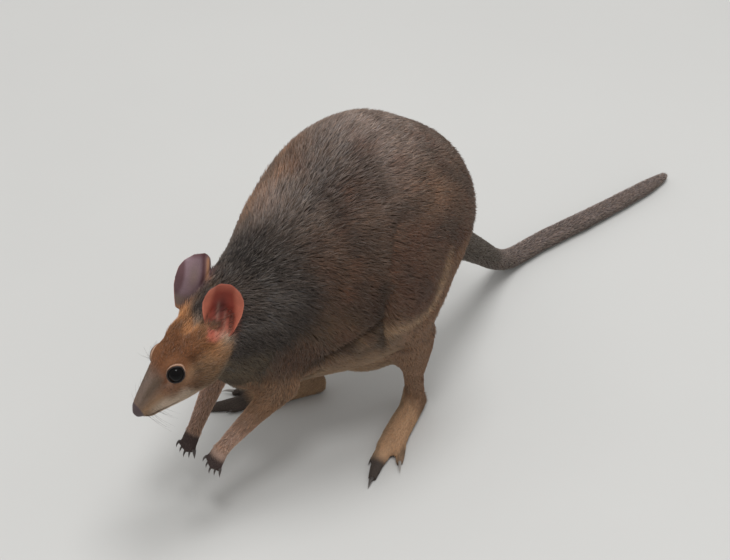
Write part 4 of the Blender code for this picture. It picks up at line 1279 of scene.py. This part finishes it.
TUFT_PATCH = 0.003          # side of the square that one tuft takes on its piece's flat pattern
PIECE_TUFTS, PIECE_SPIKES = 19000, 45600      # the most that one piece may have
BARE_LOSS = 0.93            # share of the tufts that bare skin loses
ROOT_SINK = 0.0003          # how deep a tuft's root is set into the skin, in metres
SWING, CLUMP_SWING = 0.22, 0.35               # how far tufts and clumps stray from the lie, in radians
LENGTH_RANGE, WIDTH_RANGE, RISE_RANGE = (0.72, 1.18), (0.75, 1.25), (0.70, 1.10)
WARM_SPREAD = 0.05
ROOT_TONE, TIP_TONE = 0.55, 1.18
DARK_BEND_TONE, DARK_TIP_TONE = 0.62, 0.45
PALE_TIP, PALE_SHARE = (0.38, 0.34, 0.31), 0.65


def unwrap(points, start, end):
    """Round and along the line from start to end, both 0 to 1: a cylinder unrolled."""
    start, end = np.array(start), np.array(end)
    axis = unit(end - start)
    aside = unit(np.cross(axis, (0.3, 0.1, 1.0) if abs(axis[2]) < 0.8 else (1.0, 0.2, 0.1)))
    other = np.cross(axis, aside)
    away = points - start
    turn = np.arctan2(away @ other, away @ aside) / (2 * math.pi) + 0.5
    rise = away @ axis
    rise = (rise - rise.min()) / max(rise.max() - rise.min(), 1e-6)
    return np.stack((0.01 + 0.98 * turn, 0.01 + 0.98 * rise), 1)


def spread_order(centres):
    """Orders triangles along a curve that fills space, so even steps through it spread evenly."""
    cells = ((centres - centres.min(0)) / max(np.ptp(centres, axis=0).max(), 1e-9) * 1023).astype(np.int64)
    code = np.zeros(len(cells), dtype=np.int64)
    for bit in range(10):
        for axis in range(3):
            code |= ((cells[:, axis] >> bit) & 1) << (3 * bit + axis)
    return np.argsort(code)


def tuft_roots(name, chosen, rng, most):
    """Where a piece's tufts are rooted: the skin triangles' corners, and each corner's share."""
    s = WORK["skin"]
    triangles = s["triangles"][chosen]
    a, b, c = (s["points"][triangles[:, k]] for k in range(3))
    order = spread_order((a + b + c) / 3.0)
    triangles, a, b, c = triangles[order], a[order], b[order], c[order]
    area = 0.5 * np.linalg.norm(np.cross(b - a, c - a), axis=1) * 1e6
    density = s["density"][triangles].mean(1) * (1.0 - s["bare"][triangles].mean(1) * BARE_LOSS)
    weight = np.cumsum(area * density)
    count = int(weight[-1] * bpy.context.scene.pademelon_coat.density)
    if count > most:
        raise RuntimeError(f"{name} would need {count} tufts: split the piece")
    pick = np.searchsorted(weight, (np.arange(count) + rng.random(count)) / count * weight[-1])
    u, v = rng.random(count), rng.random(count)
    flip = u + v > 1.0
    u[flip], v[flip] = 1 - u[flip], 1 - v[flip]
    return triangles[np.minimum(pick, len(triangles) - 1)], np.stack((1 - u - v, u, v), 1)


def tuft_shades(colour, grizzle, root, steps, spread, rng):
    """A colour for each point of each tuft: dark at the root, with pale or dark ticks at the tip."""
    settings = bpy.context.scene.pademelon_coat
    count = len(root)
    colour *= rng.normal(1.0, spread, count).clip(0.5, 1.6)[:, None]
    warm = rng.normal(0.0, WARM_SPREAD, count)
    colour *= np.stack((1 + warm, np.ones(count), 1 - warm), 1)
    roll = rng.random(count)
    grizzle = grizzle * (0.35 + 1.5 * noise(root, 0.0032, 31))
    pale = roll < settings.pale_ticks * grizzle
    dark = roll > 1 - settings.dark_ticks * grizzle
    tips = colour * TIP_TONE
    lift = PALE_SHARE * rng.uniform(0.35, 1.0, count)[pale, None]
    tips[pale] = tips[pale] * (1 - lift) + np.array(PALE_TIP) * lift
    tips[dark] *= DARK_TIP_TONE
    bends = colour * np.where(dark, DARK_BEND_TONE, 1.0)[:, None]
    return np.where(steps[None, :, None] < 0.25, (colour * ROOT_TONE)[:, None],
                    np.where(steps[None, :, None] < 0.75, bends[:, None], tips[:, None]))


def coat_piece(name, chosen, line, spikes, seed):
    """One coat piece: tufts rooted all over the chosen triangles of the skin, lying with the hair."""
    s = WORK["skin"]
    settings = bpy.context.scene.pademelon_coat
    rng = np.random.default_rng(SEED + seed)
    corners, share = tuft_roots(name, chosen, rng, PIECE_SPIKES if spikes else PIECE_TUFTS)
    count = len(corners)

    def at(values):
        return np.einsum("nk,nk...->n...", share, values[corners])

    root, normal = at(s["points"]), unit(at(s["normals"]))
    lie = at(s["lie"])
    lie = unit(lie - normal * np.sum(lie * normal, axis=1)[:, None])
    sideways = np.cross(normal, lie)
    swing = rng.normal(0.0, SWING, count) + CLUMP_SWING * (noise(root, 0.012, 11) - 0.5)
    lie = unit(lie * np.cos(swing)[:, None] + sideways * np.sin(swing)[:, None])
    sideways = np.cross(normal, lie)
    length = at(s["length"]) * settings.length * rng.uniform(*LENGTH_RANGE, count)
    width = at(s["width"]) * settings.width * rng.uniform(*WIDTH_RANGE, count)
    rise = at(s["depth"]) * rng.uniform(*RISE_RANGE, count) + 0.06 * length
    half = (width * 0.5)[:, None]

    def ring(centre, scale):
        return [centre - sideways * half * scale, centre + sideways * half * scale,
                centre + normal * half * scale * 1.1]

    base = root - normal * ROOT_SINK
    tip = root + lie * length[:, None] + normal * rise[:, None]
    if spikes:
        stack = ring(base, 1.0) + [tip]
        corners_of, patches, steps = SPIKE_CORNERS, SPIKE_PATCHES, SPIKE_STEPS
    else:
        bend = root + lie * (0.45 * length)[:, None] + normal * (0.72 * rise)[:, None]
        stack = ring(base, 0.9) + ring(bend, 0.95) + [tip]
        corners_of, patches, steps = TUFT_CORNERS, TUFT_PATCHES, TUFT_STEPS
    points = np.stack(stack, 1).reshape(-1, 3)
    points[:, 2] = np.maximum(points[:, 2], FLOOR_GAP)
    faces = (corners_of[None] + (np.arange(count) * len(stack))[:, None, None]).reshape(-1, 3)
    shades = tuft_shades(at(s["colour"]), at(s["grizzle"]), root, steps, 0.24 if spikes else 0.17, rng)
    mesh = triangle_mesh(name, points, faces)
    paint(mesh, "coat_colour", np.clip(shades.reshape(-1, 3), 0.0, 1.0))
    layer = mesh.uv_layers.new(name="OFBake")
    home = unwrap(root, line[0] + SHIFT, line[1] + SHIFT)
    spots = home[:, None, None, :] + (patches[None] - 0.5) * TUFT_PATCH
    layer.uv.foreach_set("vector", np.ascontiguousarray(spots, dtype=np.float32).ravel())
    return place_piece(name, mesh, coat_material())


def triangles_of(test):
    """Triangles whose middle passes a test of its zone index and its place."""
    s = WORK["skin"]
    zone = np.argmax(s["shares"][s["triangles"]].sum(1), axis=1)
    middle = s["points"][s["triangles"]].mean(1) - SHIFT
    return test(zone, middle)


def in_zones(zone, *names):
    return np.isin(zone, [ZONES.index(name) for name in names])


# ---------------------------------------------------------------- small pieces
def tube(points_along, radii, segments, aside_hint=(0.0, 0.0, 1.0)):
    """A closed tapering tube through the points: its points and its triangles."""
    line = np.array(points_along, dtype=float)
    way = unit(np.gradient(line, axis=0))
    aside = unit(np.cross(way, np.array(aside_hint) + np.array((0.013, 0.007, 0.0))))
    other = np.cross(way, aside)
    turns = np.linspace(0, 2 * math.pi, segments, endpoint=False)
    rings = [line[i] + radii[i] * (np.cos(turns)[:, None] * aside[i] + np.sin(turns)[:, None] * other[i])
             for i in range(len(line))]
    points = np.concatenate(rings + [line[:1], line[-1:]])
    faces = []
    for i in range(len(line) - 1):
        for k in range(segments):
            a, b = i * segments + k, i * segments + (k + 1) % segments
            faces += [(a, a + segments, b), (b, a + segments, b + segments)]
    first, last = len(line) * segments, len(line) * segments + 1
    for k in range(segments):
        faces.append((first, k, (k + 1) % segments))
        end = (len(line) - 1) * segments
        faces.append((last, end + (k + 1) % segments, end + k))
    return points, np.array(faces)


def join_parts(parts):
    points, faces, start = [], [], 0
    for part_points, part_faces in parts:
        points.append(part_points)
        faces.append(part_faces + start)
        start += len(part_points)
    return np.concatenate(points), np.concatenate(faces)


def claw_shape(node, droop):
    """A curved, tapering claw where the frame's claw is; its points, faces and share towards the tip."""
    points = mesh_points(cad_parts[node].data)
    middle = points.mean(0)
    _, _, axes = np.linalg.svd(points - middle, full_matrices=False)
    axis = axes[0]
    place = (points - middle) @ axis
    low, high = place < np.quantile(place, 0.3), place > np.quantile(place, 0.7)

    def girth(mask):
        off = points[mask] - middle
        return np.linalg.norm(off - np.outer(off @ axis, axis), axis=1).mean()

    if girth(low) < girth(high):
        axis, place = -axis, -place
    off = points - middle - np.outer(place, axis)
    radius = np.linalg.norm(off, axis=1).max()
    root = middle + axis * place.min()
    reach = np.ptp(place)
    steps = np.linspace(0.0, 1.0, 12)
    lift = np.array((0.0, 0.0, 1.0)) - axis * axis[2]
    lift = unit(lift) if np.linalg.norm(lift) > 0.2 else unit(np.cross(axis, ASIDE))
    arch = np.sin(steps * math.pi) * 0.10 * reach - droop * steps ** 2 * reach
    line = root + np.outer(steps * reach - 0.0012 * (1 - steps), axis) + np.outer(arch, lift)
    line[:, 2] = np.maximum(line[:, 2], 0.0006 + radius * (1 - steps) ** 0.8)
    radii = radius * np.maximum((1.0 - steps ** 1.7), 0.07)
    return tube(line, radii, 12, aside_hint=lift), np.concatenate((np.repeat(steps, 12), (0.0, 1.0)))


def claw_set(name, nodes, colours, droop):
    parts, tones = [], []
    for node, colour in zip(nodes, colours):
        shape, share = claw_shape(node, droop)
        parts.append(shape)
        tones.append(np.array(colour) * (0.75 + 0.45 * share)[:, None])
    points, faces = join_parts(parts)
    mesh = triangle_mesh(name, points, faces)
    paint(mesh, "coat_colour", np.clip(np.concatenate(tones), 0, 1))
    return place_piece(name, mesh, WORK["horn"], nodes)


# ---------------------------------------------------------------- operators
class PADEMELON_OT_skin(bpy.types.Operator):
    """Build the one skin that stands for all the flesh parts"""
    bl_idname = "pademelon.skin"
    bl_label = "Skin"

    def execute(self, context):
        points, triangles, normals, shares, web = build_skin()
        colour, grizzle, bare, wet = markings(points, normals, shares)
        depth, length, width, density = coat_measures(points, shares)
        WORK["skin"] = {
            "points": points, "triangles": triangles, "normals": normals, "shares": shares,
            "colour": colour, "grizzle": grizzle, "bare": bare, "depth": depth, "length": length,
            "width": width, "density": density, "lie": lie_of_coat(points, normals, shares, web),
        }
        mesh = triangle_mesh("pademelon_skin", points, triangles)
        # painted shade: the skin under the coat is darker by a quarter, for the shade between the tufts
        shade_under_coat = (1.0 - bare)[:, None]
        paint(mesh, "coat_colour", colour * (1.0 - 0.25 * shade_under_coat))
        mark(mesh, "bareness", bare)
        mark(mesh, "wetness", wet)
        place_piece("pademelon_skin", mesh, skin_material(), FLESH)
        return {"FINISHED"}


CORNEA_RISE = 0.045         # how far the clear front swells, as a share of the eye's radius
RIM_LIFT, RIM_RADIUS = 0.00035, 0.00062


class PADEMELON_OT_eyes(bpy.types.Operator):
    """Build the dark eyes with a raised clear front, and the rims of the lids"""
    bl_idname = "pademelon.eyes"
    bl_label = "Eyes"

    def execute(self, context):
        material = eye_material()
        c = context.scene.pademelon_colours
        for side in SIDES:
            mesh = built_mesh("eyeball_" + side, bmesh.ops.create_icosphere, subdivisions=5,
                              radius=EYE_RADIUS)
            points = mesh_points(mesh)
            facing = unit(points) @ EYE_AXIS[side]
            points *= (1.0 + CORNEA_RISE * soft(facing, 0.72, 1.0))[:, None]
            iris = soft(facing, 0.74, 0.80) * (1 - soft(facing, 0.86, 0.91))
            points += EYE_PLACES[side]
            mesh.vertices.foreach_set("co", points.astype(np.float32).ravel())
            mesh.shade_smooth()
            mark(mesh, "iris", iris)
            place_piece("eyeball_" + side, mesh, material, ("eye_" + side,))
            turns = np.linspace(0, 2 * math.pi, 96, endpoint=False)
            lean = lid_edge(turns) * 1.005
            axis, front, top = eye_frame(side)
            way = (np.cos(lean)[:, None] * axis + np.sin(lean)[:, None] * (
                np.cos(turns)[:, None] * front + np.sin(turns)[:, None] * top))
            rim = EYE_PLACES[side] + way * (EYE_RADIUS + RIM_LIFT)
            points, faces = lid_ring(rim, way, RIM_RADIUS)
            rim_mesh = triangle_mesh("lid_rim_" + side, points, faces)
            paint(rim_mesh, "coat_colour", c.lid)
            mark(rim_mesh, "bareness", np.ones(len(points)))
            mark(rim_mesh, "wetness", np.full(len(points), 0.5))
            place_piece("lid_rim_" + side, rim_mesh, bpy.data.materials["skin_and_short_fur"])
        return {"FINISHED"}


def lid_ring(rim, outward, radius):
    """A thin closed roll along the lid's edge."""
    count, segments = len(rim), 8
    way = unit(np.roll(rim, -1, axis=0) - np.roll(rim, 1, axis=0))
    across = np.cross(way, outward)
    turns = np.linspace(0, 2 * math.pi, segments, endpoint=False)
    points = (rim[:, None] + radius * (np.cos(turns)[None, :, None] * outward[:, None]
                                       + np.sin(turns)[None, :, None] * across[:, None])).reshape(-1, 3)
    faces = []
    for i in range(count):
        for k in range(segments):
            a, b = i * segments + k, i * segments + (k + 1) % segments
            c, d = ((i + 1) % count) * segments + k, ((i + 1) % count) * segments + (k + 1) % segments
            faces += [(a, c, b), (b, c, d)]
    return points, np.array(faces)


class PADEMELON_OT_claws(bpy.types.Operator):
    """Build the curved claws of the hind feet and the hands"""
    bl_idname = "pademelon.claws"
    bl_label = "Claws"

    def execute(self, context):
        c = context.scene.pademelon_colours
        WORK["horn"] = horn_material()
        for side in SIDES:
            for limb, first, colours, droop in (("hind", 2, (c.claw, c.claw, c.claw, c.claw_pale), 0.05),
                                                ("fore", 1, (c.claw,) * 5, 0.16)):
                nodes = [f"{limb}_claw_{side}_{i}" for i in range(first, 6)]
                claw_set(f"{limb}_claws_{side}", nodes, colours, droop)
        return {"FINISHED"}


# where the coat is parted across the trunk and the tail, in y, and the lines it is unrolled round
TRUNK_CUTS = (-1.0, -0.150, -0.095, -0.045, 0.005, 1.0)
TRUNK_LINE = ((0.0, -0.24, 0.200), (0.0, 0.07, 0.200))
TAIL_CUTS = (-1.0, 0.085, 0.150, 0.260, 1.0)
TAIL_JOINS = (0, 2, 4, 6, 9)        # places in TAIL_LINE


class PADEMELON_OT_coat_trunk(bpy.types.Operator):
    """Build the coat of the back, flanks, belly, neck and rump"""
    bl_idname = "pademelon.coat_trunk"
    bl_label = "Coat of the trunk"

    def execute(self, context):
        lengths = list(zip(TRUNK_CUTS[:-1], TRUNK_CUTS[1:]))
        for number, (side, sign) in enumerate(SIGNS.items()):
            for part, (low, high) in enumerate(lengths, start=1):
                coat_piece(f"coat_trunk_{side}_{part}", triangles_of(
                    lambda zone, m: in_zones(zone, "trunk", "neck", "pouch") & (m[:, 0] * sign >= 0)
                    & (m[:, 1] >= low) & (m[:, 1] < high)), TRUNK_LINE, False,
                    number * len(lengths) + part)
        return {"FINISHED"}


class PADEMELON_OT_coat_limbs(bpy.types.Operator):
    """Build the coat of the legs, feet, arms and hands"""
    bl_idname = "pademelon.coat_limbs"
    bl_label = "Coat of the limbs"

    def execute(self, context):
        for number, side in enumerate(SIDES):
            for k, (name, start, end, slot) in enumerate(LIMBS):
                coat_piece(f"coat_{name}_{side}", triangles_of(
                    lambda zone, m: in_zones(zone, f"{name}_{side}")),
                    (start[side], end[side]), name in ("foot", "paw"), 20 + 10 * number + k)
        return {"FINISHED"}


class PADEMELON_OT_coat_tail(bpy.types.Operator):
    """Build the coat of the tail"""
    bl_idname = "pademelon.coat_tail"
    bl_label = "Coat of the tail"

    def execute(self, context):
        lengths = zip(TAIL_CUTS[:-1], TAIL_CUTS[1:], TAIL_JOINS[:-1], TAIL_JOINS[1:])
        for k, (low, high, start, end) in enumerate(lengths):
            coat_piece(f"coat_tail_{k + 1}", triangles_of(
                lambda zone, m: in_zones(zone, "tail") & (m[:, 1] >= low) & (m[:, 1] < high)),
                (TAIL_LINE[start], TAIL_LINE[end]), False, 50 + k)
        return {"FINISHED"}


class PADEMELON_OT_coat_head(bpy.types.Operator):
    """Build the short coat of the head and ears"""
    bl_idname = "pademelon.coat_head"
    bl_label = "Coat of the head"

    def execute(self, context):
        line = (from_head(-0.010, 0.0, 0.008), from_head(0.105, 0.0, 0.008))
        for k, (side, sign) in enumerate(SIGNS.items()):
            coat_piece(f"coat_head_{side}", triangles_of(
                lambda zone, m: in_zones(zone, "head", "jaw", "nose") & (m[:, 0] * sign >= 0)),
                line, True, 60 + k)
            coat_piece(f"coat_ear_{side}", triangles_of(
                lambda zone, m: in_zones(zone, "ear_" + side)),
                (EAR_ROOTS[side], EAR_TIPS[side]), True, 70 + k)
        return {"FINISHED"}


# along, across and above the head: ten on the muzzle, then two on the brow and two on the cheek
WHISKER_ROOTS = ((.094, .0095, .0085), (.090, .0105, .0100), (.086, .0115, .0105), (.081, .0125, .0105),
                 (.094, .0095, .0055), (.089, .0110, .0065), (.084, .0120, .0070), (.079, .0130, .0070),
                 (.089, .0100, .0040), (.084, .0110, .0040), (.060, .0180, .0310), (.057, .0180, .0325),
                 (.040, .0240, .0060), (.037, .0245, .0045))
MUZZLE_WHISKERS = 10
WHISKER_RADIUS = 0.00011


class PADEMELON_OT_whiskers(bpy.types.Operator):
    """Build the whiskers of the muzzle, cheeks and brows, and the lashes"""
    bl_idname = "pademelon.whiskers"
    bl_label = "Whiskers"

    def execute(self, context):
        s = WORK["skin"]
        tree = BVHTree.FromPolygons([Vector(p) for p in s["points"]], s["triangles"].tolist())
        rng = np.random.default_rng(SEED + 90)
        longest = context.scene.pademelon_coat.whisker
        parts = []
        for sign in SIGNS.values():
            for number, (f, a, u) in enumerate(WHISKER_ROOTS):
                place, normal, _, _ = tree.find_nearest(Vector(from_head(f, a * sign, u) + SHIFT))
                root, normal = np.array(place), np.array(normal)
                way = unit(normal * 0.75 + ASIDE * sign * 0.45 - FORWARD * rng.uniform(0.15, 0.55)
                           - UP * rng.uniform(0.0, 0.35))
                size = longest * rng.uniform(*((0.65, 1.0) if number < MUZZLE_WHISKERS else (0.45, 0.65)))
                steps = np.linspace(0.0, 1.0, 7)
                bend = -FORWARD * 0.25 - UP * 0.22
                curve = root + np.outer(steps * size, way) + np.outer(steps ** 2 * size * 0.6, bend)
                curve[0] -= normal * 0.0006
                parts.append(tube(curve, WHISKER_RADIUS * (1.0 - 0.8 * steps), 5))
        for side in SIDES:
            axis, front, top = eye_frame(side)
            for turn in np.linspace(0.45, 2.6, 17):
                lean = float(lid_edge(np.array([turn]))[0]) * 1.03
                radial = math.cos(turn) * front + math.sin(turn) * top
                way = math.cos(lean) * axis + math.sin(lean) * radial
                root = EYE_PLACES[side] + way * (EYE_RADIUS + 0.0006)
                steps = np.linspace(0.0, 1.0, 5)
                reach = rng.uniform(0.0024, 0.0038)
                curve = root + np.outer(steps * reach, unit(way * 0.85 + radial * 0.55)) + np.outer(
                    steps ** 2 * reach * 0.25, radial)
                parts.append(tube(curve, WHISKER_RADIUS * (1.0 - 0.8 * steps), 5))
        points, faces = join_parts(parts)
        mesh = triangle_mesh("whiskers", points, faces)
        paint(mesh, "coat_colour", context.scene.pademelon_colours.whisker)
        place_piece("whiskers", mesh, whisker_material())
        return {"FINISHED"}


CAMERA_PLACE = (1.3477, -1.3460, 1.6927)
LOOK_PLACE = (0.0032, -0.0922, 0.150)
LENS, SENSOR_WIDTH, LENS_SHIFT = 124.27, 36.0, -0.0101      # millimetres, and a share of the frame
LIT_PLACE = (0.0, -0.05, 0.15)
LAMPS = (("key", (0.10, 0.28, 2.85), 1.3), ("front", (0.80, -1.02, 2.70), 0.6))     # place and width
FLOOR_REACH = 6.0
SKY_TINT = (1.0, 0.99, 0.975, 1.0)


def aim(thing, place, target):
    thing.location = place
    thing.rotation_euler = (Vector(target) - Vector(place)).to_track_quat("-Z", "Y").to_euler()


class PADEMELON_OT_stage(bpy.types.Operator):
    """Set the pale floor, the soft light and the camera"""
    bl_idname = "pademelon.stage"
    bl_label = "Stage"

    def execute(self, context):
        scene = context.scene
        settings = scene.pademelon_stage
        mesh = built_mesh("floor", bmesh.ops.create_grid, x_segments=8, y_segments=8, size=FLOOR_REACH)
        mesh.materials.append(floor_material())
        floor = link_object("floor", mesh)
        for (name, place, size), power in zip(LAMPS, (settings.key, settings.fill)):
            light = bpy.data.lights.new(name, "AREA")
            light.shape, light.size, light.energy = "DISK", size, power
            aim(link_object(name, light), place, LIT_PLACE)
        world = bpy.data.worlds.new("studio")
        world.use_nodes = True
        set_inputs(world.node_tree.nodes["Background"], Color=SKY_TINT, Strength=settings.sky)
        scene.world = world
        camera = bpy.data.cameras.new("camera")
        camera.sensor_width, camera.lens, camera.shift_x = SENSOR_WIDTH, LENS, LENS_SHIFT
        camera.clip_start = 0.05
        scene.camera = link_object("camera", camera)
        aim(scene.camera, CAMERA_PLACE, LOOK_PLACE)
        scene.view_settings.view_transform = "Standard"
        return {"FINISHED"}


OPERATORS = (PADEMELON_OT_stage, PADEMELON_OT_skin, PADEMELON_OT_eyes, PADEMELON_OT_claws,
             PADEMELON_OT_coat_trunk, PADEMELON_OT_coat_limbs, PADEMELON_OT_coat_tail,
             PADEMELON_OT_coat_head, PADEMELON_OT_whiskers)


class PADEMELON_PT_pieces(bpy.types.Panel):
    """The animal's pieces, their sizes and their colours"""
    bl_idname = "PADEMELON_PT_pieces"
    bl_label = "Pademelon"
    bl_space_type = "VIEW_3D"
    bl_region_type = "UI"
    bl_category = "Pademelon"

    def draw(self, context):
        layout = self.layout
        for group, title in ((context.scene.pademelon_coat, "Coat"),
                             (context.scene.pademelon_colours, "Colours"),
                             (context.scene.pademelon_stage, "Stage")):
            box = layout.box()
            box.label(text=title)
            for name in type(group).__annotations__:
                box.prop(group, name)
        for operator in OPERATORS:
            layout.operator(operator.bl_idname)


CLASSES = (PademelonCoat, PademelonColours, PademelonStage, PADEMELON_PT_pieces) + OPERATORS


def register():
    for cls in CLASSES:
        bpy.utils.register_class(cls)
    bpy.types.Scene.pademelon_coat = PointerProperty(type=PademelonCoat)
    bpy.types.Scene.pademelon_colours = PointerProperty(type=PademelonColours)
    bpy.types.Scene.pademelon_stage = PointerProperty(type=PademelonStage)


def unregister():
    del bpy.types.Scene.pademelon_stage
    del bpy.types.Scene.pademelon_colours
    del bpy.types.Scene.pademelon_coat
    for cls in reversed(CLASSES):
        bpy.utils.unregister_class(cls)


def main():
    register()
    bpy.ops.pademelon.stage()
    bpy.ops.pademelon.skin()
    bpy.ops.pademelon.eyes()
    bpy.ops.pademelon.claws()
    bpy.ops.pademelon.coat_trunk()
    bpy.ops.pademelon.coat_limbs()
    bpy.ops.pademelon.coat_tail()
    bpy.ops.pademelon.coat_head()
    bpy.ops.pademelon.whiskers()


if __name__ == "__main__":
    main()
